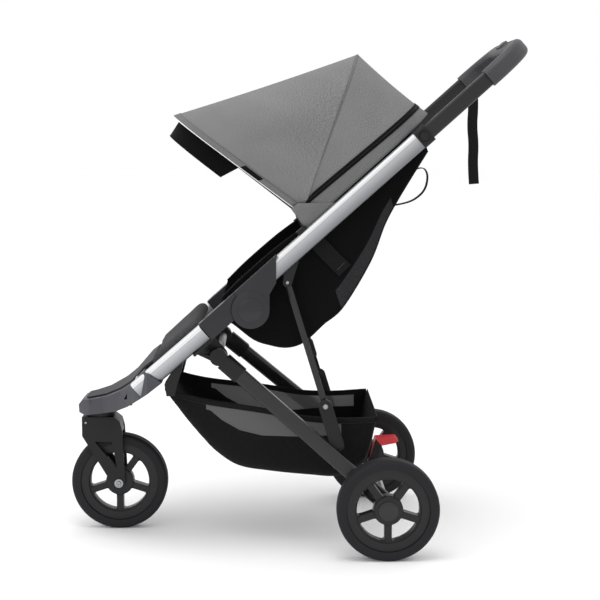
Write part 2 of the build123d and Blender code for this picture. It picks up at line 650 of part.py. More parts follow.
canopy_mount = prism(
    [
        on_rail(pivot_along - 20, RAIL_HEIGHT / 2),
        on_rail(pivot_along - 12, RAIL_HEIGHT / 2),
        shifted(CANOPY_PIVOT, MOUNT_RADIUS, RAIL_ANGLE - 20),
        CANOPY_PIVOT,
        shifted(CANOPY_PIVOT, MOUNT_RADIUS, RAIL_ANGLE + 180),
    ],
    MOUNT_IN,
    MOUNT_IN + 7,
)
canopy_mount += prism(
    [
        on_rail(pivot_along - 32, RAIL_HEIGHT / 2),
        on_rail(pivot_along - 12, RAIL_HEIGHT / 2),
        on_rail(pivot_along - 12, RAIL_HEIGHT / 2 + 8),
        on_rail(pivot_along - 32, RAIL_HEIGHT / 2 + 8),
    ],
    MOUNT_IN,
    RAIL_HALF_SPACING + 6,
)
canopy_mount += rod(CANOPY_PIVOT, MOUNT_RADIUS, MOUNT_IN, MOUNT_IN + 7)
canopy_mount += rod(CANOPY_PIVOT, PIN_RADIUS, FRONT_BOW_HALF - BOW_THICKNESS - 2, MOUNT_IN)

# ---------------------------------------------------------------- seat
back_line = [(90, 489), (141, 575), (169, 648), (193, 694), (221, 741), (252, 791)]
base_line = [(-128, 452), (-88, 421), (-56, 410), (-26, 405), (2, 411), (24, 427), (50, 452), (87.5, 485)]
side_in = SEAT_HALF_WIDTH - SEAT_CLOTH
side_top = [on_rail(392, 19), on_rail(118, 19), on_rail(60, 27), on_rail(-100, 27), (-162, 470)]
side_outline = base_line + back_line[1:] + side_top
seat_side = prism(side_outline, side_in, SEAT_HALF_WIDTH)
inside = side_in - GAP
seat_base = band(base_line, SEAT_CLOTH, -inside, inside)
seat_back_cover = band(back_line, SEAT_CLOTH, -inside, inside)
board_line = [shifted(point, SEAT_CLOTH + GAP, 152) for point in back_line[1:]]
back_board = band(board_line, 6.0, -138, 138)
pad_line = [shifted(point, 6.6, 152) for point in board_line]
back_pad = band(pad_line, 20.0, -148, 148)

side_strap = prism(
    [(20, 604), (50, 621), (96, 564), (86, 554), (76, 551)], SEAT_HALF_WIDTH + 0.3, SEAT_HALF_WIDTH + 2.3
)

strap_tab = [on_rail(74, -14), on_rail(108, -14), on_rail(108, -4), on_rail(74, -4)]
side_strap += prism(strap_tab, SEAT_HALF_WIDTH + 0.3, RAIL_HALF_SPACING - RAIL_WIDTH / 2)

RECLINE_WIDTH = 24.0
recline_line = [(226, 744), (247, 752), (262, 752), (269, 737), (265, 713), (252, 696), (229, 683), (186, 674), (182, 674)]
recline_strap = band(recline_line, 2.0, -RECLINE_WIDTH / 2, RECLINE_WIDTH / 2)
recline_strap -= seat_back_cover
recline_strap = recline_strap.solids().sort_by(SortBy.VOLUME)[-1]

# ---------------------------------------------------------------- calf rest
CALF_LOW = 7.0
CALF_HIGH = 27.0
calf_plane = Plane(origin=(0, *on_rail(0, CALF_LOW)), x_dir=(1, 0, 0), z_dir=(0, -SIN, COS))
calf_corners = [(lower_rail_x(along) - RAIL_WIDTH / 2 - 0.8, along) for along in (-182, -320)]
calf_points = calf_corners + [(-x, along) for x, along in reversed(calf_corners)]
calf_face = fillet(make_face(Polyline(*calf_points, close=True)).vertices(), 8.0)
calf_rest = extrude(calf_plane * calf_face, amount=CALF_HIGH - CALF_LOW)
calf_rest -= prism([on_rail(-312, 0), on_rail(-312, 40), on_rail(-360, 40), on_rail(-360, 0)], -130, 130)

# ---------------------------------------------------------------- basket
basket_top = [(156, 264), (80, 261), (6, 265), (-70, 279), (-192, 296), (-270, 316)]
basket_under = [(-235, 262), (-193, 211), (-161, 179), (-119, 154), (-55, 144), (22, 138), (80, 136), (128, 168), (144, 194)]
BASKET_FRONT_HALF = 122.0
BASKET_REAR_HALF = 168.0
BASKET_WALL = 3.0


def basket_plan(inset):
    """The basket widens towards the rear."""
    front = -271 + inset
    rear = 157 - inset
    corners = [(BASKET_FRONT_HALF - inset, front), (BASKET_REAR_HALF - inset, rear)]
    corners += [(-(BASKET_REAR_HALF - inset), rear), (-(BASKET_FRONT_HALF - inset), front)]
    return extrude(fillet(make_face(Polyline(*corners, close=True)).vertices(), 26.0), amount=400)


def basket_block(inset):
    """A solid with the basket's side outline, shrunk by an inset and open upwards when inset."""
    lift = [(y, z + 60) for y, z in basket_top] if inset else basket_top
    under = [(y, z + inset) for y, z in basket_under]
    return prism(lift + under, -BASKET_REAR_HALF, BASKET_REAR_HALF) & basket_plan(inset)


basket = basket_block(0) - basket_block(BASKET_WALL)
basket = basket.solids().sort_by(SortBy.VOLUME)[-1]

clip_in = BASKET_FRONT_HALF + 1.0
basket_clip = prism(
    [on_rail(-292, under_rail), on_rail(-262, under_rail), (-240, 330), (-246, 306), (-262, 306), (-266, 330)],
    clip_in,
    clip_in + 40,
)
basket_clip -= basket_plan(0)
basket_clip = basket_clip.solids().sort_by(SortBy.VOLUME)[-1]

# ---------------------------------------------------------------- files
save_sides("lower_rail", lower_rail)
save_sides("upper_rail", upper_rail)
save_sides("hinge_base", hinge_base)
save_sides("hinge_arm", hinge_arm)
save_sides("handle_button", handle_button)
save_sides("rear_leg", rear_leg)
save_sides("strut", strut)
save_sides("seat_side", seat_side)
save_sides("hub_cap", hub_cap)
save("hinge_covers", both(hinge_cover))
save("rail_collars", both(collar))
save("strut_tabs", both(strut_tab))
save("leg_brackets", both(leg_bracket))
save("leg_heads", both(leg_head))
save("leg_feet", both(leg_foot))
save("strut_brackets", both(strut_bracket))
save("canopy_mounts", both(canopy_mount))
save("side_straps", both(side_strap))
save("basket_clips", both(basket_clip))
save("handle_tube", handle_tube)
save("handle_grip", handle_grip)
save("leash_strap", leash_strap)
save("leg_pivot_shaft", leg_pivot_shaft)
save("rear_axle", rear_axle)
save("strut_latch", strut_latch)
save("front_nose", front_nose)
save("footrest_tread", footrest_tread)
save("swivel_socket", swivel_socket)
save("swivel_lock", swivel_lock)
save("front_fork", front_fork)
save("front_axle", front_axle)
save("brake_pedal", brake_pedal)
save("mid_bow", mid_bow)
save("front_bow", front_bow)
save("visor", visor)
save("canopy_front_panel", canopy_front_panel)
save("canopy_rear_panel", canopy_rear_panel)
save("canopy_rear_strip", canopy_rear_strip)
save("seat_base", seat_base)
save("seat_back_cover", seat_back_cover)
save("back_board", back_board)
save("back_pad", back_pad)
save("recline_strap", recline_strap)
save("calf_rest", calf_rest)
save("basket", basket)
save_wheel("front", (0, FRONT_AXLE_Y, WHEEL_RADIUS))
save_wheel("rear_left", (REAR_HALF_TRACK, *rear_axle_point))
save_wheel("rear_right", (-REAR_HALF_TRACK, *rear_axle_point))
print("nodes", len([name for name in os.listdir("parts") if name.endswith(".step")]))
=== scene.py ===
# %% [markdown]
# # A folding three-wheel stroller
# The frame, wheels and joints arrive from the CAD as the frame, in metres. This lesson dresses them:
# hard parts get rounded edges and real finishes, and every fabric part is built again as cloth.
# +X is the rider's left, -Y is the front and +Z is up.

# %% Load the frame
import json
import math
from contextlib import contextmanager

import bmesh
import bpy
import numpy as np
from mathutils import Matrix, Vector


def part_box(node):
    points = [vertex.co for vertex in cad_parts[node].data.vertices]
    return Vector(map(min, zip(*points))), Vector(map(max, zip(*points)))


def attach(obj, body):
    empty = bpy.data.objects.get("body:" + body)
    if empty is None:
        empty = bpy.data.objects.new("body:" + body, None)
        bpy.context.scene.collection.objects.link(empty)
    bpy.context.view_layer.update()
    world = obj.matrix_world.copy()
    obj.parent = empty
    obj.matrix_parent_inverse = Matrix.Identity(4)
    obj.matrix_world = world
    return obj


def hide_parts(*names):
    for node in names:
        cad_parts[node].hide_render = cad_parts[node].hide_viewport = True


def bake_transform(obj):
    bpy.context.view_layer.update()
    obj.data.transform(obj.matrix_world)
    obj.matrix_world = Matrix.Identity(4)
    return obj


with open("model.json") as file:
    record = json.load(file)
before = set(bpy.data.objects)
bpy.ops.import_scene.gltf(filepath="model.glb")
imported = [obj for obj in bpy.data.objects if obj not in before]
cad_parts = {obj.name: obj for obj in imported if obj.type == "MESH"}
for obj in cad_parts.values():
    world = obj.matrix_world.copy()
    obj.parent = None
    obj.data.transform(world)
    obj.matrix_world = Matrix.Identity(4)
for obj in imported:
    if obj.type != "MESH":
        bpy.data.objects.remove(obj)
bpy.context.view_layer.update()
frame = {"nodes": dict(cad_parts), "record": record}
bodies = frame["record"]["behaviour"]["bodies"]
body_of_node = {node: body for body, nodes in bodies.items() for node in nodes}

# %% [markdown]
# The side view of the frame is drawn from one straight line, the rail line, so most fabric edges are
# easiest to place as a distance along it and a height above it. The numbers repeat the CAD's own
# sizes, and the offset is read from the rear wheel, so that both models share one origin.

# %% Places on the frame
MM = 0.001
tyre_low, tyre_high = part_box("tyre_rear_left")
AXLE_Y = (tyre_low[1] + tyre_high[1]) / 2
SHIFT = AXLE_Y - 172 * MM
RAIL_ANGLE = math.radians(41.8)
RAIL_START = (-44 * MM + SHIFT, 564 * MM)
CANOPY_PIVOT = (6.4 * MM + SHIFT, 669 * MM)
CANOPY_HALF = 186 * MM
CANOPY_TOP = 331 * MM
SHOULDER = 115 * MM
SEAT_HALF = 171 * MM


def on_rail(along, above):
    """A (Y, Z) point from millimetres along the rail line and above it."""
    cos, sin = math.cos(RAIL_ANGLE), math.sin(RAIL_ANGLE)
    y = RAIL_START[0] + (along * cos - above * sin) * MM
    return (y, RAIL_START[1] + (along * sin + above * cos) * MM)


def side_points(points):
    """(Y, Z) points given in the CAD's millimetres, moved into the shared frame."""
    return np.array([(y * MM + SHIFT, z * MM) for y, z in points])


print("shared offset in mm", round(SHIFT / MM, 3))

# %% [markdown]
# Soft outlines are smooth, so a few given points are joined by a Catmull-Rom curve. It passes
# through every point, which makes it easy to steer, and it is read at even steps of its own length.

# %% Smooth lines
def smooth_line(points, count):
    """Points spaced evenly along a smooth curve through the given ones."""
    given = np.asarray(points, float)
    ends = np.vstack([2 * given[0] - given[1], given, 2 * given[-1] - given[-2]])
    steps = np.linspace(0, 1, 24, endpoint=False)[:, None]
    parts = []
    for a, b, c, d in zip(ends, ends[1:], ends[2:], ends[3:]):
        line = 2 * b + (c - a) * steps + (2 * a - 5 * b + 4 * c - d) * steps**2
        parts.append((line + (3 * b - a - 3 * c + d) * steps**3) / 2)
    dense = np.vstack(parts + [given[-1:]])
    return even_line(dense, count)


def even_line(points, count):
    """The same line with its points at even distances."""
    points = np.asarray(points, float)
    lengths = np.concatenate([[0], np.cumsum(np.linalg.norm(np.diff(points, axis=0), axis=1))])
    wanted = np.linspace(0, lengths[-1], count)
    return np.stack([np.interp(wanted, lengths, column) for column in points.T], axis=1)


# %% [markdown]
# ## Finishes
# Colours are written as the sRGB hex values a designer would name, and one function turns them to the
# linear values that the shader needs. One other function adds a node with its settings and links. A
# colour that varies is a Mix node between two codes, and its inputs go by number: 0 is the share, 6 the
# dark colour and 7 the light one.

# %% Colour and node helpers
def linear(code):
    """Linear RGBA from an sRGB hex code."""
    values = [int(code[i : i + 2], 16) / 255 for i in (1, 3, 5)]
    return tuple(v / 12.92 if v <= 0.04045 else ((v + 0.055) / 1.055) ** 2.4 for v in values) + (1.0,)


def feed(tree, node, inputs):
    """Give a node's inputs their values, or links from other nodes' outputs."""
    for key, value in inputs.items():
        if isinstance(value, bpy.types.NodeSocket):
            tree.links.new(value, node.inputs[key])
        else:
            node.inputs[key].default_value = value


def add(tree, kind, inputs=None, **settings):
    """Add a node with its settings and its inputs."""
    node = tree.nodes.new(kind)
    for name, value in settings.items():
        setattr(node, name, value)
    feed(tree, node, inputs or {})
    return node


def new_finish(name, shader_values):
    """A material with one Principled shader, whose steady values sit on its own sockets."""
    finish = bpy.data.materials.new(name)
    finish.use_nodes = True
    finish.node_tree.nodes.clear()
    shader = add(finish.node_tree, "ShaderNodeBsdfPrincipled", shader_values)
    add(finish.node_tree, "ShaderNodeOutputMaterial", {"Surface": shader.outputs[0]})
    return finish, finish.node_tree, shader


# %% [markdown]
# Moulded and coated parts share one recipe: a nearly even colour, broken by faint blotches, a fine
# grain in the surface, and a roughness that wanders a little. The grain of a spark-eroded mould is
# about 0.4 mm, too fine to show from three metres, so it is drawn at about 1.5 mm.

# %% Moulded, coated and rubber finishes
def grained(name, dark, light, roughness, grain_mm=1.5, relief=0.00006, shine=0.3):
    """A plain hard or rubbery surface with a fine grain."""
    finish, tree, shader = new_finish(name, {"Specular IOR Level": shine})
    place = add(tree, "ShaderNodeTexCoord").outputs["Object"]
    noise = {"Vector": place, "Scale": 14.0, "Detail": 4.0}
    blotch = add(tree, "ShaderNodeTexNoise", noise).outputs["Fac"]
    colour = add(tree, "ShaderNodeMix", {0: blotch, 6: linear(dark), 7: linear(light)}, data_type="RGBA")
    spread = {"Value": blotch, "To Min": roughness - 0.06, "To Max": roughness + 0.06}
    wander = add(tree, "ShaderNodeMapRange", spread)
    grain = add(tree, "ShaderNodeTexNoise", {"Vector": place, "Scale": 1 / (grain_mm * MM), "Detail": 2.0})
    height = {"Height": grain.outputs["Fac"], "Strength": 0.5, "Distance": relief}
    bump = add(tree, "ShaderNodeBump", height)
    feed(tree, shader, {"Base Color": colour.outputs[2], "Roughness": wander.outputs[0]})
    feed(tree, shader, {"Normal": bump.outputs[0]})
    return finish


housing_plastic = grained("Moulded glass-filled nylon, blue-black", "#18181d", "#202026", 0.38, shine=0.4)
black_plastic = grained("Moulded polypropylene, black", "#0c0c0e", "#131315", 0.45)
disc_plastic = grained("Polished ABS, black", "#0e0e11", "#15151a", 0.25, relief=0.00002, shine=0.5)
nose_plastic = grained("Moulded glass-filled nylon, slate", "#3c3c41", "#4a4a50", 0.42)
tread_plastic = grained("Moulded thermoplastic rubber, slate", "#26262a", "#333338", 0.62)
red_plastic = grained("Moulded ABS, coral red", "#cf2f38", "#dd444b", 0.34)
powder_coat = grained("Powder-coated aluminium, black", "#0a0a0b", "#121213", 0.3, 0.9, shine=0.45)
leg_coat = grained("Powder-coated aluminium, charcoal", "#111112", "#19191b", 0.26, 0.9, shine=0.5)
tyre_foam = grained("Moulded polyurethane foam tyre, black", "#161618", "#202023", 0.7, 2.2, shine=0.25)
rim_plastic = grained("Moulded nylon rim, black", "#0d0d0f", "#161618", 0.4, shine=0.35)
white_cord = grained("Braided polyester piping, white", "#dcdcda", "#f2f2f0", 0.8)
print("moulded and coated finishes made")

# %% [markdown]
# The rails are extruded aluminium, brushed along their length and anodised. The brushing is drawn as
# noise that is stretched twenty-five times along the rail, which makes the highlight streak. The fitting
# screws and shafts are zinc-plated steel with the same idea at a smaller scale.
# The rails' colour also holds painted light: painted shade low on their sides, a painted fold line and a
# painted highlight along their tops.

# %% Metal finishes
def brushed(name, dark, light, roughness, stretch):
    """A brushed metal whose streaks run along one direction."""
    finish, tree, shader = new_finish(name, {"Metallic": 1.0})
    place = add(tree, "ShaderNodeTexCoord").outputs["Object"]
    drawn = add(tree, "ShaderNodeMapping", {"Vector": place, "Scale": stretch}).outputs[0]
    noise = {"Vector": drawn, "Scale": 380.0, "Detail": 5.0}
    streaks = add(tree, "ShaderNodeTexNoise", noise).outputs["Fac"]
    colour = add(tree, "ShaderNodeMix", {0: streaks, 6: linear(dark), 7: linear(light)}, data_type="RGBA")
    spread = {"Value": streaks, "To Min": roughness - 0.07, "To Max": roughness + 0.07}
    wander = add(tree, "ShaderNodeMapRange", spread)
    bump = add(tree, "ShaderNodeBump", {"Height": streaks, "Strength": 0.25, "Distance": 0.00005})
    feed(tree, shader, {"Base Color": colour.outputs[2], "Roughness": wander.outputs[0]})
    feed(tree, shader, {"Normal": bump.outputs[0]})
    return finish


steel = brushed("Zinc-plated steel", "#8c8d90", "#b5b6b8", 0.38, (0.1, 1, 1))
RAIL_HALF_HEIGHT = 18 * MM


def rail_finish_with_painted_light():
    """Satin anodised aluminium whose colour holds painted light: a painted highlight on the upper third, a
    painted fold line of shade and highlight, and painted shade down the side.
    """
    satin = {"Metallic": 1.0, "Roughness": 0.38}
    finish, tree, shader = new_finish("Brushed anodised aluminium, silver", satin)
    place = add(tree, "ShaderNodeTexCoord").outputs["Object"]
    turned = add(tree, "ShaderNodeMapping", {"Vector": place, "Rotation": (-RAIL_ANGLE, 0, 0)}).outputs[0]
    drawn = add(tree, "ShaderNodeMapping", {"Vector": turned, "Scale": (1, 0.04, 1)}).outputs[0]
    noise = {"Vector": drawn, "Scale": 500.0, "Detail": 4.0}
    streaks = add(tree, "ShaderNodeTexNoise", noise).outputs["Fac"]
    height = add(tree, "ShaderNodeSeparateXYZ", {"Vector": turned}).outputs["Z"]
    middle = RAIL_START[1] * math.cos(RAIL_ANGLE) - RAIL_START[0] * math.sin(RAIL_ANGLE)
    edges = {"From Min": middle - RAIL_HALF_HEIGHT, "From Max": middle + RAIL_HALF_HEIGHT}
    share = add(tree, "ShaderNodeMapRange", {"Value": height, **edges})
    # The ramp across the rail's height is painted light: painted shade at the bottom, a painted highlight
    # on the upper third and a painted fold line.
    ramp = add(tree, "ShaderNodeValToRGB", {"Fac": share.outputs[0]})
    painted_light_stops = ramp.color_ramp.elements
    painted_light_stops[0].position, painted_light_stops[0].color = 0.0, linear("#6f7073")
    painted_light_stops[1].position, painted_light_stops[1].color = 0.6, linear("#b4b5b8")
    for position, code in ((0.68, "#bcbdc0"), (0.7, "#909194"), (0.72, "#dcdddf"), (1.0, "#e9e9ea")):
        painted_light_stops.new(position).color = linear(code)
    tint = add(tree, "ShaderNodeMapRange", {"Value": streaks, "To Min": 0.88, "To Max": 1.06}).outputs[0]
    shade = add(tree, "ShaderNodeVectorMath", {0: ramp.outputs[0], "Scale": tint}, operation="SCALE")
    bump = add(tree, "ShaderNodeBump", {"Height": streaks, "Strength": 0.15, "Distance": 0.00003})
    feed(tree, shader, {"Base Color": shade.outputs[0], "Normal": bump.outputs[0]})
    return finish


rail_metal = rail_finish_with_painted_light()
print("metals made")

# %% [markdown]
# ## Woven cloth
# The hood is a melange weave: light and dark yarns side by side give grey flecks about 2 mm long. The
# threads themselves are 0.4 mm apart. The weave is drawn at 1.2 mm so that it just shows. It follows the
# cloth's own UV map, which holds real metres along and across each panel.

# %% Cloth finishes
WAVE_PERIOD = 0.314  # a Wave texture of scale 1 repeats every pi / 10


def crossed_threads(tree, place, spacing_mm, distortion):
    """Two sets of lines across each other, as warp and weft are."""
    values = {"Vector": place, "Scale": WAVE_PERIOD / (spacing_mm * MM), "Distortion": distortion}
    waves = [add(tree, "ShaderNodeTexWave", values, bands_direction=way) for way in ("X", "Y")]
    return [wave.outputs["Fac"] for wave in waves]


def woven(name, dark, light, fleck_mm, weave_mm, relief, fleck=1.0, roughness=0.92, sheen=0.05):
    """Cloth with flecks of two yarns and a weave, both on the UV map in metres."""
    soft = {"Roughness": roughness, "Sheen Weight": sheen, "Sheen Roughness": 0.5}
    finish, tree, shader = new_finish(name, {"Specular IOR Level": 0.1, **soft})
    place = add(tree, "ShaderNodeUVMap", uv_map="Cloth").outputs[0]
    drawn = add(tree, "ShaderNodeMapping", {"Vector": place, "Scale": (1.0, 0.55, 1.0)}).outputs[0]
    yarns = {"Vector": drawn, "Scale": 1 / (fleck_mm * MM), "Detail": 3.0, "Roughness": 0.7}
    flecks = add(tree, "ShaderNodeTexNoise", yarns).outputs["Fac"]
    spread = {"Value": flecks, "From Min": 0.34, "From Max": 0.66}
    clear = add(tree, "ShaderNodeMapRange", spread).outputs[0]
    noise = {"Vector": place, "Scale": 9.0, "Detail": 2.0}
    patches = add(tree, "ShaderNodeTexNoise", noise).outputs["Fac"]
    strong = add(tree, "ShaderNodeMath", {0: clear, 1: fleck}, operation="MULTIPLY").outputs[0]
    both = {0: patches, 1: 0.35, 2: strong}
    share = add(tree, "ShaderNodeMath", both, operation="MULTIPLY_ADD").outputs[0]
    colour = add(tree, "ShaderNodeMix", {0: share, 6: linear(dark), 7: linear(light)}, data_type="RGBA")
    warp, weft = crossed_threads(tree, place, weave_mm, 0.4)
    weave = add(tree, "ShaderNodeMath", {0: warp, 1: weft}, operation="MULTIPLY").outputs[0]
    height = add(tree, "ShaderNodeMath", {0: weave, 1: flecks}).outputs[0]
    bump = add(tree, "ShaderNodeBump", {"Height": height, "Strength": 0.7, "Distance": relief})
    feed(tree, shader, {"Base Color": colour.outputs[2], "Normal": bump.outputs[0]})
    return finish


melange = woven("Woven melange polyester, grey", "#434344", "#868687", 1.1, 1.2, 0.00005)
# A darker copy of the hood's melange: painted shade on the hem, the seam cord, the skirt and the flaps.
melange_painted_shade = woven("Woven melange polyester, painted shade", "#3d3d3e", "#7a7a7b", 1.1, 1.2, 0.00005)
black_weave = woven("Woven polyester, black", "#040404", "#0c0c0d", 3.0, 1.8, 0.0002, 0.7, 0.9, 0.02)
# A lighter cloth for a patch low on the seat sides towards the back: a painted sheen.
seat_side_painted_sheen = woven("Woven polyester, dark grey, painted sheen", "#161617", "#353537", 2.2, 2.6, 0.0004, 0.8, 0.9, 0.05)
basket_weave = woven("Woven Oxford nylon, black", "#0c0c0d", "#1a1a1b", 3.0, 2.0, 0.0003, 0.7, 0.85, 0.03)
calf_weave = woven("Woven polyester, dark grey", "#29292b", "#454547", 2.0, 1.6, 0.0003)
webbing = woven("Woven webbing, black", "#0b0b0c", "#1c1c1e", 2.0, 2.2, 0.0004, 0.8, 0.8, 0.05)
zip_tape = woven("Zip tape, black", "#040405", "#0e0e0f", 2.0, 2.4, 0.0005, 0.7, 0.75, 0.02)
lining = woven("Knitted lining, black", "#050505", "#0f0f10", 3.0, 2.0, 0.0002, 0.6, 0.9, 0.03)
print("cloth finishes made")

# %% [markdown]
# The basket's windows are an open mesh. Its holes are under 2 mm, so most of the daylight behind it
# comes through as an even grey. The finish is a grid on the UV map that decides how much shows through.

# %% Mesh and leather finishes
def open_mesh(name, thread, pitch_mm):
    """A see-through net."""
    finish, tree, shader = new_finish(name, {"Roughness": 0.8, "Base Color": linear(thread)})
    place = add(tree, "ShaderNodeUVMap", uv_map="Cloth").outputs[0]
    warp, weft = crossed_threads(tree, place, pitch_mm, 0.0)
    net = add(tree, "ShaderNodeMath", {0: warp, 1: weft}, operation="MAXIMUM").outputs[0]
    limits = {"From Min": 0.3, "From Max": 0.95, "To Min": 0.74, "To Max": 0.9}
    cover = add(tree, "ShaderNodeMapRange", {"Value": net, **limits})
    feed(tree, shader, {"Alpha": cover.outputs[0]})
    return finish


window_mesh = open_mesh("Open polyester mesh, grey", "#5d5d5e", 2.4)


def leatherette(name, dark, light):
    """Embossed leather cloth: small rounded pebbles, 1.8 mm across, with darker valleys."""
    finish, tree, shader = new_finish(name, {"Roughness": 0.52})
    place = add(tree, "ShaderNodeTexCoord").outputs["Object"]
    cells = {"Vector": place, "Scale": 1 / (1.8 * MM)}
    pebbles = add(tree, "ShaderNodeTexVoronoi", cells).outputs["Distance"]
    noise = {"Vector": place, "Scale": 30.0, "Detail": 3.0}
    patches = add(tree, "ShaderNodeTexNoise", noise).outputs["Fac"]
    colour = add(tree, "ShaderNodeMix", {0: patches, 6: linear(dark), 7: linear(light)}, data_type="RGBA")
    bump = add(tree, "ShaderNodeBump", {"Height": pebbles, "Strength": 0.5, "Distance": 0.00025})
    feed(tree, shader, {"Base Color": colour.outputs[2], "Normal": bump.outputs[0]})
    return finish


grip_leather = leatherette("Embossed polyurethane leatherette, charcoal", "#2b2b2e", "#3a3a3e")
print("mesh and leatherette made")

# %% [markdown]
# ## Hard parts
# CAD edges are perfectly sharp, and nothing real is. Each hard part is shown by a copy whose doubled
# points are welded, and where a width is given a Bevel modifier rounds its edges so that they catch the
# light.

# %% Helpers for pieces
@contextmanager
def edited(mesh):
    """Open a mesh for editing, and write it back afterwards."""
    work = bmesh.new()
    work.from_mesh(mesh)
    yield work
    work.to_mesh(mesh)
    work.free()


def new_piece(name, data, finish=None):
    """Put a mesh, curve, light or camera in the scene."""
    if finish:
        data.materials.clear()
        data.materials.append(finish)
    piece = bpy.data.objects.new(name, data)
    bpy.context.collection.objects.link(piece)
    return piece


def plain_mesh(piece):
    """A piece's mesh with its modifiers worked into it."""
    bpy.context.view_layer.update()
    return bpy.data.meshes.new_from_object(piece.evaluated_get(bpy.context.evaluated_depsgraph_get()))


# %% Rounded copies of the CAD parts
WELD = 1e-5
EDGE_ANGLE = math.radians(35)


def soften(node, finish, width_mm, segments=2):
    """Show a CAD part by a copy, with its edges rounded where a width is given."""
    mesh = frame["nodes"][node].data.copy()
    with edited(mesh) as work:
        bmesh.ops.remove_doubles(work, verts=work.verts, dist=WELD)
    mesh.shade_smooth()
    mesh.set_sharp_from_angle(angle=EDGE_ANGLE)
    piece = new_piece(f"{node}_shown", mesh, finish)
    if width_mm:
        bevel = piece.modifiers.new("Rounded edges", "BEVEL")
        bevel.width = width_mm * MM
        bevel.segments = segments
        bevel.limit_method = "ANGLE"
        bevel.angle_limit = EDGE_ANGLE
        bevel.harden_normals = True
    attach(piece, body_of_node[node])
    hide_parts(node)
    return piece


def sides(name):
    """The left and right node of a pair."""
    return [f"{name}_left", f"{name}_right"]


hard_parts = {
    rail_metal: (0.0, sides("lower_rail") + sides("upper_rail")),
    housing_plastic: (1.5, sides("hinge_base") + sides("hinge_arm")),
    nose_plastic: (0.0, ["front_nose"]),
    disc_plastic: (0.6, ["hinge_covers"] + sides("hub_cap")),
    black_plastic: (
        1.2,
        ["swivel_socket", "swivel_lock", "leg_brackets", "leg_heads", "leg_feet", "strut_brackets"]
        + ["strut_tabs", "canopy_mounts", "rail_collars", "basket_clips", "strut_latch", "back_board"]
        + sides("handle_button"),
    ),
    powder_coat: (0.0, ["handle_tube", "mid_bow", "front_bow"] + sides("strut")),
    leg_coat: (0.0, sides("rear_leg")),
    steel: (0.6, ["rear_axle", "front_axle", "leg_pivot_shaft"]),
    tread_plastic: (0.8, ["footrest_tread"]),
    red_plastic: (1.5, ["brake_pedal"]),
    grip_leather: (0.0, ["handle_grip"]),
    rim_plastic: (1.2, ["rim_front", "rim_rear_left", "rim_rear_right"]),
    tyre_foam: (0.0, ["tyre_front", "tyre_rear_left", "tyre_rear_right"]),
}
for finish, (width, nodes) in hard_parts.items():
    for node in nodes:
        soften(node, finish, width)
soften("front_fork", black_plastic, 2.5, 3)
pedal = bpy.data.objects["brake_pedal_shown"]
pedal.data.materials.append(black_plastic)
PADDLE_LOW = 137 * MM
for face in pedal.data.polygons:
    if face.center.z < PADDLE_LOW:
        face.material_index = 1
print("hard parts softened", sum(len(nodes) for _, nodes in hard_parts.values()) + 1)

# %% [markdown]
# ## Cloth sheets
# Each fabric panel is a grid of points: rows run along the panel and columns across it. Its UV map is the
# real distance along the cloth, so every panel's weave has one scale. Solidify then gives it a thickness.

# %% Sheets from rows of points
def add_uv(mesh, uv):
    """Write a UV map in metres, from one pair for each vertex."""
    layer = mesh.uv_layers.new(name="Cloth")
    index = np.zeros(len(mesh.loops), dtype=int)
    mesh.loops.foreach_get("vertex_index", index)
    layer.data.foreach_set("uv", uv.reshape(-1, 2)[index].ravel())


def grid_mesh(name, rows, closed=False):
    """A mesh of quads through an array of points, rows by columns."""
    rows = np.asarray(rows, float)
    count, across = rows.shape[:2]
    faces = []
    for i in range(count - 1):
        for j in range(across if closed else across - 1):
            k = (j + 1) % across
            faces.append((i * across + j, i * across + k, (i + 1) * across + k, (i + 1) * across + j))
    mesh = bpy.data.meshes.new(name)
    mesh.from_pydata(rows.reshape(-1, 3).tolist(), [], faces)
    along = np.zeros((count, across))
    along[1:] = np.cumsum(np.linalg.norm(np.diff(rows, axis=0), axis=2), axis=0)
    wide = np.zeros((count, across))
    wide[:, 1:] = np.cumsum(np.linalg.norm(np.diff(rows, axis=1), axis=2), axis=1)
    add_uv(mesh, np.stack([wide, along], axis=2))
    return mesh


def sheet_area(rows):
    """The area of a grid of points, in square metres."""
    rows = np.asarray(rows, float)
    a, b, c, d = rows[:-1, :-1], rows[1:, :-1], rows[1:, 1:], rows[:-1, 1:]
    first = np.linalg.norm(np.cross(b - a, c - a), axis=2)
    second = np.linalg.norm(np.cross(c - a, d - a), axis=2)
    return float((first + second).sum() / 2)


def cloth_sheet(name, rows, finish, thickness_mm, *rests_on):
    mesh = grid_mesh(name, rows)
    mesh.shade_smooth()
    piece = new_piece(name, mesh, finish)
    solid = piece.modifiers.new("Thickness", "SOLIDIFY")
    solid.thickness = thickness_mm * MM
    solid.offset = 0.0
    rows = np.asarray(rows, float)
    return piece


TUBE_SIDES = 8


def tube_along(name, points, radius, finish):
    """A thin round cord through a line of points."""
    points = np.asarray(points, float)
    forward = np.gradient(points, axis=0)
    forward /= np.linalg.norm(forward, axis=1)[:, None]
    first = np.cross(forward, (0.31, 0.17, 0.93))
    first /= np.linalg.norm(first, axis=1)[:, None]
    second = np.cross(forward, first)
    rows = []
    for turn in np.linspace(0, 2 * math.pi, TUBE_SIDES, endpoint=False):
        rows.append(points + radius * (math.cos(turn) * first + math.sin(turn) * second))
    mesh = grid_mesh(name, np.swapaxes(np.array(rows), 0, 1), closed=True)
    mesh.shade_smooth()
    return new_piece(name, mesh, finish)


print("cloth helpers ready")

# %% [markdown]
# ## Stitches
# A sewn line is the same short thread again and again, so Geometry Nodes place it. The tree resamples a
# line at the stitch pitch and puts a small rounded thread on every point, turned along the line. The
# result becomes a plain mesh.

# %% A Geometry Nodes tree for stitches
THREAD_SIDES = 6


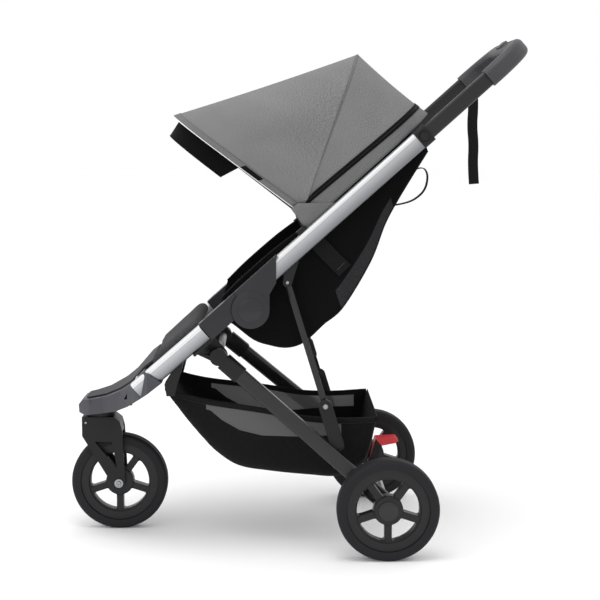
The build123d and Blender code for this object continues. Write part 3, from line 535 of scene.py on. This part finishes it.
def stitch_tree():
    """Threads at an even pitch along a curve."""
    tree = bpy.data.node_groups.new("Stitches along a line", "GeometryNodeTree")
    tree.interface.new_socket("Line", in_out="INPUT", socket_type="NodeSocketGeometry")
    for name in ("Pitch", "Thread radius", "Thread length"):
        tree.interface.new_socket(name, in_out="INPUT", socket_type="NodeSocketFloat")
    tree.interface.new_socket("Finish", in_out="INPUT", socket_type="NodeSocketMaterial")
    tree.interface.new_socket("Stitches", in_out="OUTPUT", socket_type="NodeSocketGeometry")
    entry = add(tree, "NodeGroupInput").outputs
    spacing = {"Curve": entry["Line"], "Length": entry["Pitch"]}
    points = add(tree, "GeometryNodeResampleCurve", spacing, mode="LENGTH")
    size = {"Vertices": THREAD_SIDES, "Radius": entry["Thread radius"], "Depth": entry["Thread length"]}
    thread = add(tree, "GeometryNodeMeshCylinder", size)
    tangent = add(tree, "GeometryNodeInputTangent").outputs[0]
    turn = add(tree, "FunctionNodeAlignRotationToVector", {"Vector": tangent}, axis="Z")
    where = {"Points": points.outputs[0], "Instance": thread.outputs["Mesh"], "Rotation": turn.outputs[0]}
    placed = add(tree, "GeometryNodeInstanceOnPoints", where)
    solid = add(tree, "GeometryNodeRealizeInstances", {"Geometry": placed.outputs[0]})
    finished = {"Geometry": solid.outputs[0], "Material": entry["Finish"]}
    painted = add(tree, "GeometryNodeSetMaterial", finished)
    add(tree, "NodeGroupOutput", {"Stitches": painted.outputs[0]})
    return tree


STITCHES = stitch_tree()


def sew(name, lines, finish, pitch_mm=4.0, radius_mm=0.45, length_mm=2.6):
    """Stitches along one or more lines of points, as one plain mesh."""
    curve = bpy.data.curves.new(name, "CURVE")
    curve.dimensions = "3D"
    for line in lines:
        spline = curve.splines.new("POLY")
        spline.points.add(len(line) - 1)
        spline.points.foreach_set("co", np.hstack([line, np.ones((len(line), 1))]).ravel())
    holder = new_piece(f"{name}_line", curve)
    modifier = holder.modifiers.new("Stitches", "NODES")
    modifier.node_group = STITCHES
    values = {"Pitch": pitch_mm * MM, "Thread radius": radius_mm * MM, "Thread length": length_mm * MM}
    values["Finish"] = finish
    for item in STITCHES.interface.items_tree:
        if item.in_out == "INPUT" and item.name in values:
            modifier[item.identifier] = values[item.name]
    mesh = plain_mesh(holder)
    bpy.data.objects.remove(holder)
    print(name, "threads", len(mesh.vertices) // (2 * THREAD_SIDES))
    return new_piece(name, mesh)


grey_thread = grained("Spun polyester thread, grey", "#4a4a4c", "#5a5a5c", 0.8)
black_thread = grained("Spun polyester thread, black", "#232326", "#303033", 0.7)

# %% [markdown]
# ## The hood
# The hood is one cloth over two bent bows. Each bow is a U standing in a plane through the pivots, and the
# cloth is pulled straight from bow to bow, so every panel is a ruled sheet with a little sag. Building it
# from the same U at three angles keeps the seams exactly where the bows are.

# %% The U of a bow
HOOD_CENTRE = np.array([0, CANOPY_PIVOT[0], CANOPY_PIVOT[1]])
BOW_POINTS = 81


def bow_line(half, top, shoulder, start):
    """(x, reach) points of a U, from the left foot over the top to the right foot."""
    arc = np.linspace(0, math.pi / 2, 16)
    round_part = shoulder * np.stack([np.cos(arc), np.sin(arc)], axis=1)
    left = (half - shoulder, top - shoulder) + round_part
    crown = np.array([[0.0, top + 1.5 * MM]])
    right = left[::-1] * (-1, 1)
    return even_line(np.vstack([[(half, start)], left, crown, right, [(-half, start)]]), BOW_POINTS)


def in_fan(line, angle):
    """Stand a U up in a plane through the pivots, at an angle in degrees above the rear."""
    turn = math.radians(angle)
    y = CANOPY_PIVOT[0] + line[:, 1] * math.cos(turn)
    z = CANOPY_PIVOT[1] + line[:, 1] * math.sin(turn)
    return np.stack([line[:, 0], y, z], axis=1)


def along_rails(half, first, last, shoulder, rise_first, rise_last):
    """A U that lies above the rails: it starts at one place along them and ends at another."""
    line = bow_line(half, last - first, shoulder, 0.0)
    share = line[:, 1] / (last - first)
    above = rise_first + (rise_last - rise_first) * share
    points = [on_rail((first + reach) / MM, rise / MM) for reach, rise in zip(line[:, 1], above)]
    return np.hstack([line[:, :1], np.array(points)])


def between(first, second, shares):
    """Lines that lie at the given shares of the way from one line to another."""
    return np.array([first + (second - first) * share for share in shares])


def stretched(first, second, steps, sag_mm=0.0):
    """Rows of a cloth pulled from one line to another, sagging inwards in between."""
    rows = []
    shares = np.linspace(0, 1, steps)
    for share, row in zip(shares, between(first, second, shares)):
        inward = HOOD_CENTRE - row
        inward /= np.linalg.norm(inward, axis=1)[:, None]
        rows.append(row + inward * sag_mm * MM * 4 * share * (1 - share))
    return np.array(rows)


CLOTH_START = 20 * MM
FRONT_ANGLE = 143.3
FRONT_DROP = 13 * MM
front_edge = in_fan(bow_line(CANOPY_HALF, CANOPY_TOP - FRONT_DROP, SHOULDER, CLOTH_START), FRONT_ANGLE)
MID_ANGLE = 70
seam_edge = in_fan(bow_line(CANOPY_HALF, CANOPY_TOP + 0.5 * MM, SHOULDER, CLOTH_START), MID_ANGLE)
zip_edge = along_rails(CANOPY_HALF, 116 * MM, 421 * MM, SHOULDER, 57 * MM, 47 * MM)
rail_edge = along_rails(CANOPY_HALF, 106 * MM, 427 * MM, SHOULDER, 20.5 * MM, 21.5 * MM)
print("hood edges", len(front_edge), "points each")

# %% Hood panels
front_rows = stretched(front_edge, seam_edge, 41, 2.5)
front_cloth = cloth_sheet("hood_front_cloth", front_rows, melange, 1.6, "front_bow", "mid_bow")
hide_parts("canopy_front_panel")
rear_rows = stretched(seam_edge, zip_edge, 25, 2.0)
rear_cloth = cloth_sheet("hood_rear_cloth", rear_rows, melange, 1.6, "mid_bow")
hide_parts("canopy_rear_panel")
strip_rows = stretched(zip_edge, rail_edge, 7)
# The skirt is the hood's cloth drawn darker, as painted shade.
strip_cloth = cloth_sheet("hood_skirt_cloth", strip_rows, melange_painted_shade, 1.6, "canopy_mounts")
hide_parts("canopy_rear_strip")
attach(strip_cloth, "upper_frame")
print("hood area in square metres", round(sheet_area(front_rows) + sheet_area(rear_rows), 3))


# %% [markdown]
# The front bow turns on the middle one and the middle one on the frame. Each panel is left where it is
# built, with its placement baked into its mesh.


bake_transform(front_cloth)
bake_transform(rear_cloth)


# %% [markdown]
# The hem, the seam and the zip are what the eye finds first on a plain hood. The hem is a doubled band of
# the same cloth with a row of stitches and a white piping at its edge, and it and the seam cord are drawn a
# little darker as painted shade; the zip is a black tape with teeth.

# %% Hem, piping and seams
def raised(rows, lift_mm):
    """Move rows outwards from the hood's middle."""
    outward = rows - HOOD_CENTRE
    outward[..., 0] *= 3.0
    outward /= np.linalg.norm(outward, axis=-1)[..., None]
    return rows + outward * lift_mm * MM


def beside(edge, other, distance_mm):
    """A line a fixed distance from an edge, towards another line."""
    step = other - edge
    length = np.maximum(np.linalg.norm(step, axis=1)[:, None], 1e-6)
    return edge + step * np.minimum(distance_mm * MM / length, 0.45)


hem_end = beside(front_edge, seam_edge, 14)
hem_rows = raised(between(front_edge, hem_end, np.linspace(0, 1, 5)), 1.3)
hem = cloth_sheet("hood_hem", hem_rows, melange_painted_shade, 1.0, "hood_front_cloth")
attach(hem, "front_bow")
piping = tube_along("hood_piping", raised(front_edge, 0.8), 1.1 * MM, white_cord)
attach(piping, "front_bow")
hem_stitches = sew("hood_hem_stitches", [raised(hem_end, 1.6)], grey_thread)
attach(hem_stitches, "front_bow")
seam_cord = tube_along("hood_seam", raised(seam_edge, 0.9), 0.9 * MM, melange_painted_shade)
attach(seam_cord, "mid_bow")
stitch_line = raised(between(seam_edge, front_edge, [0.012])[0], 1.0)
seam_stitches = sew("hood_seam_stitches", [stitch_line], grey_thread, radius_mm=0.35)
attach(seam_stitches, "mid_bow")

# %% Zip tape and label
zip_low = beside(zip_edge, rail_edge, 5.5)
zip_high = beside(zip_edge, seam_edge, 6.0)
zip_rows = raised(between(zip_high, zip_low, np.linspace(0, 1, 6)), 1.5)
zip_band = cloth_sheet("hood_zip_tape", zip_rows, zip_tape, 1.2, "hood_skirt_cloth")
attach(zip_band, "upper_frame")
zip_teeth = sew("hood_zip_teeth", [raised(zip_edge, 2.3)], black_plastic, 2.4, 0.9, 1.3)
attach(zip_teeth, "upper_frame")
TAG_PLACE = slice(8, 13)
tag_rows = raised(between(hem_rows[0][TAG_PLACE], hem_rows[4][TAG_PLACE], np.linspace(0.12, 0.84, 5)), 1.0)
tag = cloth_sheet("hood_plain_tag", tag_rows, zip_tape, 0.8, "hood_hem")
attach(tag, "front_bow")

# %% [markdown]
# The peak is a smooth black brim that turns about the hood's own pivots and slides under the cloth.

# %% The peak
PEAK_ANGLE = 142.5
PEAK_LENGTH = 39 * MM
peak_half = CANOPY_HALF - 11.9 * MM
peak_top = CANOPY_TOP - FRONT_DROP - 15.5 * MM
peak_shoulder = SHOULDER - 11 * MM
peak_turn = math.radians(PEAK_ANGLE)
peak_way = np.array([0, -math.sin(peak_turn), math.cos(peak_turn)])
peak_root = in_fan(bow_line(peak_half, peak_top, peak_shoulder, 150 * MM), PEAK_ANGLE)
peak_tip = in_fan(bow_line(peak_half, peak_top - 3 * MM, peak_shoulder, 168 * MM), PEAK_ANGLE)
peak_rows = between(peak_root, peak_tip + peak_way * PEAK_LENGTH, np.linspace(0, 1, 9))
peak = cloth_sheet("hood_peak", peak_rows, black_weave, 2.0, "front_bow")
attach(peak, "visor")
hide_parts("visor")
peak_edge = tube_along("hood_peak_edge", peak_rows[-1], 1.6 * MM, lining)
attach(peak_edge, "visor")


# %% [markdown]
# The hood's cloth hides its plastic pivots: a small flap on each side runs over them and down to the rail.

# %% Flaps over the pivots
PIVOT_ALONG, PIVOT_ABOVE = 107.6, 44.7
FLAP_LOW, FLAP_HIGH = 18.6, 66
for side, sign in (("left", 1), ("right", -1)):
    flap_rows = []
    for above in np.linspace(FLAP_LOW, FLAP_HIGH, 13):
        rise = (above - FLAP_LOW) / (FLAP_HIGH - FLAP_LOW)
        row = []
        for along in np.linspace(93.5 + 5 * rise, 170 - 55 * rise, 15):
            distance = math.hypot(along - PIVOT_ALONG, above - PIVOT_ABOVE)
            bulge = 9.6 * math.exp(-((max(distance - 12, 0) / 16) ** 2))
            y, z = on_rail(along, above)
            row.append((sign * (CANOPY_HALF + (1.6 + bulge) * MM), y, z))
        flap_rows.append(row)
    # The flaps are the hood's cloth drawn darker, as painted shade.
    flap = cloth_sheet(f"hood_flap_{side}", flap_rows, melange_painted_shade, 1.2, "hood_skirt_cloth")
    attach(flap, "upper_frame")
print("hood finished")

# %% [markdown]
# ## The seat
# The seat is a sling of black cloth: two sides, a back and a base. The sides hang from the rails and are
# drawn between a top line along the rail and a lower line that follows the child's seat and back.

# %% Seat lines
base_line = side_points(
    [(-128, 452), (-88, 421), (-56, 410), (-26, 405), (2, 411), (24, 427), (50, 452), (87.5, 485)]
)
back_line = side_points([(90, 489), (141, 575), (169, 648), (193, 694), (221, 741), (252, 791)])
seat_low = smooth_line(np.vstack([side_points([(-158, 471)]), base_line, back_line[1:]]), 61)
top_heights = [(-118, 26), (-60, 29), (20, 28), (70, 24), (118, 19), (250, 18), (392, 18)]
seat_top = smooth_line(np.array([on_rail(along, above) for along, above in top_heights]), 61)


def seat_side_rows(sign):
    """Rows of a seat side from its top line to its lower line, with a few soft creases."""
    rows = []
    for share in np.linspace(0, 1, 25):
        line = seat_top + (seat_low - seat_top) * share
        along = np.linspace(0, 1, len(line))
        crease = 1.4 * np.sin(21 * along + 7 * share) * math.sin(math.pi * share)
        x = sign * (SEAT_HALF - 2.4 * MM + crease * MM * 0.6)
        rows.append(np.column_stack([x * np.ones(len(line)), line]))
    return np.array(rows)


for side, sign in (("left", 1), ("right", -1)):
    rows = seat_side_rows(sign)
    piece = cloth_sheet(f"seat_side_cloth_{side}", rows, black_weave, 2.4, f"upper_rail_{side}_shown")
    # Faces near the lower line towards the back take the lighter cloth, as a painted sheen.
    piece.data.materials.append(seat_side_painted_sheen)
    for number, face in enumerate(piece.data.polygons):
        row, column = divmod(number, len(seat_top) - 1)
        if row >= 19 and 27 <= column <= 47:
            face.material_index = 1
    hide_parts(f"seat_side_{side}")
    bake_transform(piece)
    edge = tube_along(f"seat_binding_{side}", rows[0], 2.2 * MM, webbing)
    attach(edge, "upper_frame")
    lower = tube_along(f"seat_low_binding_{side}", rows[-1], 1.8 * MM, webbing)
    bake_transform(lower)
print("seat sides made")


# %% Seat base and back
def sling_rows(line, half, sag_mm):
    """A sheet across the seat that hangs a little lower in the middle."""
    rows = []
    direction = np.gradient(line, axis=0)
    direction /= np.linalg.norm(direction, axis=1)[:, None]
    outward = np.stack([direction[:, 1], -direction[:, 0]], axis=1)
    for x in np.linspace(-half, half, 33):
        bulge = sag_mm * MM * (1 - (x / half) ** 2)
        place = line + outward * bulge
        rows.append(np.column_stack([np.full(len(line), x), place]))
    return np.swapaxes(np.array(rows), 0, 1)


inner_half = SEAT_HALF - 5.5 * MM
base_rows = sling_rows(smooth_line(base_line, 41), inner_half, 4)
seat_base = cloth_sheet("seat_base_cloth", base_rows, black_weave, 3.0, "seat_side_cloth_left")
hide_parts("seat_base")
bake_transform(seat_base)
back_rows = sling_rows(smooth_line(back_line, 41), inner_half, 5)
seat_back = cloth_sheet("seat_back_cloth", back_rows, black_weave, 3.0, "seat_side_cloth_left")
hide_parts("seat_back_cover")
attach(seat_back, "backrest")
print("sling made")

# %% [markdown]
# ## Padding
# A pad is two cloths sewn round a foam sheet, so it swells between its seams. The swelling is simulated:
# the plain CAD solid is shrunk a little, remeshed to even squares and blown up as cloth for twenty steps.
# A cap keeps each point near its start, so the pad still fits its place.

# %% Padded pieces
VOXEL = 6 * MM
PRESSURE = 4.0
INSET = 2.0


def positions(source):
    """The vertex positions of a mesh, as rows."""
    values = np.zeros(len(source.data.vertices) * 3)
    source.data.vertices.foreach_get("co", values)
    return values.reshape(-1, 3)


def apply_modifiers(piece):
    """Turn a piece's modifiers into plain mesh."""
    mesh = plain_mesh(piece)
    piece.modifiers.clear()
    piece.data = mesh


def swell(piece, cap_mm):
    """Blow a closed piece up as cloth, and stop each point at the cap."""
    start = positions(piece)
    cloth = piece.modifiers.new("Swelling", "CLOTH")
    cloth.settings.use_pressure = True
    cloth.settings.uniform_pressure_force = PRESSURE
    cloth.settings.effector_weights.gravity = 0.0
    cloth.settings.quality = 4
    for step in range(1, 21):
        bpy.context.scene.frame_set(step)
    move = positions(piece.evaluated_get(bpy.context.evaluated_depsgraph_get())) - start
    piece.modifiers.remove(cloth)
    bpy.context.scene.frame_set(1)
    length = np.linalg.norm(move, axis=1)[:, None]
    move *= np.minimum(1.0, cap_mm * MM / np.maximum(length, 1e-9))
    piece.data.vertices.foreach_set("co", (start + move).ravel())
    piece.data.update()


def pad_from_node(name, node, finish, cap_mm):
    """A cushion that starts as a CAD solid and is blown up as cloth."""
    mesh = frame["nodes"][node].data.copy()
    with edited(mesh) as work:
        bmesh.ops.remove_doubles(work, verts=work.verts, dist=WELD)
        work.normal_update()
        for vertex in work.verts:
            vertex.co += vertex.normal * -INSET * MM
    piece = new_piece(name, mesh, finish)
    remesh = piece.modifiers.new("Even squares", "REMESH")
    remesh.mode = "VOXEL"
    remesh.voxel_size = VOXEL
    apply_modifiers(piece)
    swell(piece, cap_mm)
    smooth = piece.modifiers.new("Smooth", "SMOOTH")
    smooth.iterations = 3
    apply_modifiers(piece)
    fine = piece.modifiers.new("Finer", "SUBSURF")
    fine.levels = fine.render_levels = 1
    piece.data.shade_smooth()
    places = positions(piece)
    along = places[:, 1] * math.cos(RAIL_ANGLE) + places[:, 2] * math.sin(RAIL_ANGLE)
    add_uv(piece.data, np.stack([places[:, 0], along], axis=1))
    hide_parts(node)
    return piece


back_cushion = pad_from_node("back_cushion", "back_pad", lining, 7.0)
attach(back_cushion, "backrest")
calf_cushion = pad_from_node("calf_cushion", "calf_rest", calf_weave, 5.0)
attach(calf_cushion, "lower_frame")
print("pads swollen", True)

# %% [markdown]
# ## The basket
# The basket is a bag whose cross-section is a soft U that grows and shrinks from front to rear. One grid of
# such sections closes by itself at both ends, because the U shrinks to nothing there. The sides have a
# window of open mesh, which is a second finish on the same sheet.

# %% Basket sections
basket_low = side_points(
    [(-268, 312), (-235, 262), (-193, 211), (-161, 179), (-119, 154), (-55, 144)]
    + [(22, 138), (80, 137), (126, 160), (143, 194), (155, 258)]
)
basket_high = side_points([(-270, 316), (-192, 296), (-70, 279), (6, 265), (80, 261), (156, 264)])
window_low = side_points(
    [(-186, 289), (-172, 268), (-153, 252), (-117, 232), (-73, 222), (3, 221), (79, 226), (130, 226)]
)
SECTIONS = 97
low_line = smooth_line(basket_low, SECTIONS)
high_line = smooth_line(basket_high, SECTIONS)
FRONT_HALF, REAR_HALF = 121 * MM, 167 * MM
HEM = 11 * MM
HEM_COLUMNS, WINDOW_COLUMNS, LOW_COLUMNS = 4, 10, 20


def half_section(y, low_z):
    """Half a cross-section: a hem, then the wall down to the window's lower edge, then the rest."""
    top = np.interp(y, high_line[:, 0], high_line[:, 1])
    share = (y - low_line[0, 0]) / (low_line[-1, 0] - low_line[0, 0])
    half = FRONT_HALF + (REAR_HALF - FRONT_HALF) * share
    depth = max(top - low_z, 4 * MM)
    radius = min(30 * MM, 0.8 * depth)
    lean = 5 * MM * depth / (120 * MM)
    turn = np.linspace(0, math.pi / 2, 9)
    corner_x = half - lean - radius + radius * np.cos(turn)
    corner = np.stack([corner_x, top - depth + radius - radius * np.sin(turn)], axis=1)
    outline = even_line(np.vstack([[(half, top)], corner, [(0, top - depth)]]), 200)
    reach = np.concatenate([[0], np.cumsum(np.linalg.norm(np.diff(outline, axis=0), axis=1))])
    sill = np.interp(y, window_low[:, 0], window_low[:, 1], left=9, right=9)
    hem_end = min(HEM, 0.2 * reach[-1])
    wall_end = np.interp(-sill, -outline[:, 1], reach)
    wall_end = min(max(wall_end, hem_end + 0.05 * reach[-1]), 0.6 * reach[-1])
    hem = np.linspace(0, hem_end, HEM_COLUMNS + 1)
    wall = np.linspace(hem_end, wall_end, WINDOW_COLUMNS + 1)[1:]
    rest = np.linspace(wall_end, reach[-1], LOW_COLUMNS + 1)[1:]
    wanted = np.concatenate([hem, wall, rest])
    return np.stack([np.interp(wanted, reach, column) for column in outline.T], axis=1)


bag_rows = []
for y, low_z in low_line:
    section = half_section(y, low_z)
    whole = np.vstack([section * (-1, 1), section[-2::-1]])
    bag_rows.append(np.column_stack([whole[:, 0], np.full(len(whole), y), whole[:, 1]]))
bag_rows = np.array(bag_rows)
bag = cloth_sheet("basket_bag", bag_rows, basket_weave, 2.0, "basket_clips")
bag.data.materials.append(window_mesh)
last = bag_rows.shape[1] - 1
WINDOW_FRONT = -184 * MM + SHIFT
WINDOW_REAR = {1: 84 * MM + SHIFT, -1: 128 * MM + SHIFT}
for number, face in enumerate(bag.data.polygons):
    column = number % last
    from_edge = min(column, last - 1 - column)
    side = 1 if column > last / 2 else -1
    in_window = HEM_COLUMNS <= from_edge < HEM_COLUMNS + WINDOW_COLUMNS
    if in_window and WINDOW_FRONT < face.center.y < WINDOW_REAR[side]:
        face.material_index = 1
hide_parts("basket")
print("basket depth in mm", round((high_line[:, 1].max() - low_line[:, 1].min()) / MM))

# %% Basket hems and binding
REAR_RIM = (157 * MM + SHIFT, 264 * MM)


def basket_blend(piece):
    """Bake a basket piece's placement into its mesh; the basket hangs between the clips and the rear legs.
    """
    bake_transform(piece)


def outside(column):
    """A line along the bag at one column, a little outside it."""
    line = bag_rows[:, column].copy()
    line[:, 0] += np.sign(line[:, 0].mean()) * 1.2 * MM
    return line


hem_columns = {"left": range(last, last - HEM_COLUMNS - 1, -1), "right": range(HEM_COLUMNS + 1)}
for side, sign in (("left", 1), ("right", -1)):
    band_rows = np.array([outside(column) for column in hem_columns[side]])[:, 2:-2]
    band = cloth_sheet(f"basket_hem_{side}", band_rows, webbing, 1.4, "basket_bag")
    basket_blend(band)
    stitch_line = band_rows[-1] + (sign * 1.2 * MM, 0, 0)
    basket_blend(sew(f"basket_hem_stitches_{side}", [stitch_line], black_thread))
rear_half = REAR_HALF - 4 * MM
rear_edge = np.array([(x, *REAR_RIM) for x in np.linspace(-rear_half, rear_half, 33)])
rear_rows = between(rear_edge, rear_edge - (0, 1.2 * MM, HEM), np.linspace(0, 1, 4))
rear_hem = cloth_sheet("basket_rear_hem", rear_rows, webbing, 1.4, "basket_bag")
basket_blend(rear_hem)
basket_blend(bag)
print("basket hems sewn")

# %% [markdown]
# ## Straps
# The wrist strap is webbing, 22 mm wide, that hangs from the right end of the grip. It is a flat cord: its
# middle line is a NURBS curve through chosen route points, and the webbing is a thin box along that line.

# %% The wrist strap
STRAP_ROUTE = [
    (-195.0, 386.0, 926.0),
    (-195.0, 388.5, 884.0),
    (-195.0, 385.5, 842.0),
    (-195.0, 390.0, 799.0),
    (-195.0, 388.0, 756.0),
    (-195.0, 391.5, 713.5),
]
STRAP_WIDTH = 22 * MM
STRAP_THICKNESS = 2 * MM


def nurbs_line(route):
    """The points of a NURBS curve whose control points are the route."""
    curve = bpy.data.curves.new("Strap route", "CURVE")
    curve.dimensions = "3D"
    spline = curve.splines.new("NURBS")
    spline.points.add(len(route) - 1)
    for point, (x, y, z) in zip(spline.points, route):
        point.co = (x * MM, y * MM + SHIFT, z * MM, 1.0)
    spline.order_u = 3
    spline.use_endpoint_u = True
    holder = new_piece("Strap route", curve)
    mesh = plain_mesh(holder)
    bpy.data.objects.remove(holder)
    return np.array([tuple(vertex.co) for vertex in mesh.vertices])


def close_ends(work):
    """Fill a shell's open ends and point its faces outwards."""
    bmesh.ops.holes_fill(work, edges=[edge for edge in work.edges if edge.is_boundary], sides=0)
    bmesh.ops.recalc_face_normals(work, faces=work.faces)


def flat_strap(name, line, across, width, thickness, finish):
    """Webbing along a line: a thin box whose width runs along the given direction."""
    across = np.asarray(across, float)
    forward = np.gradient(line, axis=0)
    forward /= np.linalg.norm(forward, axis=1)[:, None]
    thin = np.cross(forward, across)
    thin /= np.linalg.norm(thin, axis=1)[:, None]
    wide = np.cross(thin, forward)
    upper = [(share, 0.5) for share in (0.5, 0.42, 0, -0.42, -0.5)]
    lower = [(share, -0.5) for share, _ in reversed(upper)]
    rows = [line + wide * width * a + thin * thickness * b for a, b in upper + lower]
    mesh = grid_mesh(name, np.swapaxes(np.array(rows), 0, 1), closed=True)
    with edited(mesh) as work:
        close_ends(work)
    return new_piece(name, mesh, finish)


strap_line = nurbs_line(STRAP_ROUTE)
leash = flat_strap("wrist_strap", strap_line, (0, 1, 0), STRAP_WIDTH, STRAP_THICKNESS, webbing)
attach(leash, "handle")
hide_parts("leash_strap")

# %% The recline strap and side straps
recline_way = side_points(
    [(224, 743), (247, 752), (262, 752), (269, 737), (265, 713), (252, 696), (229, 683), (186, 674)]
)
recline_line = smooth_line(recline_way, 41)
recline_points = np.column_stack([np.zeros(41), recline_line])
recline = flat_strap("recline_strap_webbing", recline_points, (1, 0, 0), 24 * MM, 2 * MM, webbing)
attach(recline, "backrest")
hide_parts("recline_strap")
side_line = smooth_line(side_points([(36, 613), (60, 588), (91, 557)]), 21)
for side, sign in (("left", 1), ("right", -1)):
    points = np.column_stack([np.full(21, sign * (SEAT_HALF + 2.4 * MM)), side_line])
    way = side_line[-1] - side_line[0]
    across = Vector((0, way[1], -way[0])).normalized()
    strap = flat_strap(f"side_strap_{side}", points, tuple(across), 32 * MM, 1.6 * MM, webbing)
    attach(strap, "upper_frame")
    if side == "left":
        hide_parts("side_straps")
    end = points[-4] + np.outer(np.linspace(-9, 9, 7) * MM, tuple(across)) + (sign * 1.1 * MM, 0, 0)
    marks = sew(f"side_strap_stitches_{side}", [end], grey_thread, 3.0, 0.4, 2.2)
    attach(marks, "upper_frame")
print("straps made")

# %% [markdown]
# ## Screws on the hard parts
# Visible screws sit at the strut's pins and on the fork. A screw head is a low dome with a hexagonal
# socket. It is turned from one profile in mesh code, because each of the eight rides on its own body.

# %% Screws
SOCKET_EDGE = 0.5


def screw(name, place, sign, radius_mm, body):
    """A button-head screw on a side face, with a hexagonal socket."""
    profile = [(0.0, 0.3), (0.42, 0.3), (0.46, 0.95), (0.8, 0.9), (1.0, 0.45), (1.0, 0.0)]
    scale = 0.92 * radius_mm * MM
    rows = []
    for reach, height in profile:
        ring = []
        for turn in np.linspace(0, 2 * math.pi, 24, endpoint=False):
            to_flat = (turn + math.pi / 6) % (math.pi / 3) - math.pi / 6
            out = scale * (reach / math.cos(to_flat) if reach < SOCKET_EDGE else reach)
            x = place[0] + sign * height * radius_mm * 0.55 * MM
            ring.append((x, place[1] + out * math.cos(turn), place[2] + out * math.sin(turn)))
        rows.append(ring)
    mesh = grid_mesh(name, rows, closed=True)
    with edited(mesh) as work:
        bmesh.ops.remove_doubles(work, verts=work.verts, dist=1e-6)
        close_ends(work)
    mesh.shade_smooth()
    mesh.set_sharp_from_angle(angle=math.radians(40))
    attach(new_piece(name, mesh, steel), body)


screws = {
    "strut_foot_screw": ((199.2, 52.4, 290.8), 6, "rear_legs"),
    "strut_top_screw": ((197.2, -22.1, 535.9), 4, "upper_frame"),
    "fork_screw": ((33, -439, 228), 3, "front_fork"),
    "axle_screw": ((36, -372, 100), 6, "front_fork"),
}
for side, sign in (("left", 1), ("right", -1)):
    for name, ((x, y, z), radius_mm, body) in screws.items():
        screw(f"{name}_{side}", (sign * x * MM, y * MM + SHIFT, z * MM), sign, radius_mm, body)
print("screws placed")

# %% [markdown]
# ## Light, floor and camera
# The stroller stands on a pale floor in even studio light: a white surround, a wide soft light overhead and
# a weaker one from the viewer's side, so that top edges shine and the sides stay readable.

# %% Floor and lights
world = bpy.data.worlds.new("Studio")
bpy.context.scene.world = world
world.use_nodes = True
feed(world.node_tree, world.node_tree.nodes["Background"], {"Color": (1, 1, 1, 1), "Strength": 1.0})
floor_mesh = bpy.data.meshes.new("Floor")
floor_mesh.from_pydata([(-30, -30, 0), (30, -30, 0), (30, 30, 0), (-30, 30, 0)], [], [(0, 1, 2, 3)])
paper = new_finish("Matt studio paper, white", {"Roughness": 0.9, "Base Color": linear("#ffffff")})[0]
new_piece("Floor", floor_mesh, paper)


def area_light(name, place, target, size, power):
    """A square soft light that faces a point."""
    light = bpy.data.lights.new(name, "AREA")
    light.size = size
    light.energy = power
    holder = new_piece(name, light)
    holder.location = place
    holder.rotation_euler = (Vector(target) - Vector(place)).to_track_quat("-Z", "Y").to_euler()


area_light("Overhead", (0.6, -0.2, 3.0), (0, 0, 0.5), 1.6, 24)
area_light("Viewer side", (3.0, -1.6, 1.8), (0, 0, 0.6), 1.8, 5)
area_light("Front", (0.8, -3.0, 1.6), (0, 0, 0.6), 1.6, 6)

# %% The camera
camera_data = bpy.data.cameras.new("Camera")
camera_data.lens = 90.73
camera_data.sensor_width = 36.0
camera = new_piece("Camera", camera_data)
camera.location = (3.12727, -0.03986, 0.83038)
turn, dip = 0.01788, 0.11166
facing = Vector((-math.cos(dip) * math.cos(turn), math.cos(dip) * math.sin(turn), -math.sin(dip)))
camera.rotation_euler = facing.to_track_quat("-Z", "Y").to_euler()
bpy.context.scene.camera = camera
bpy.context.scene.view_settings.view_transform = "Standard"
print("camera placed")
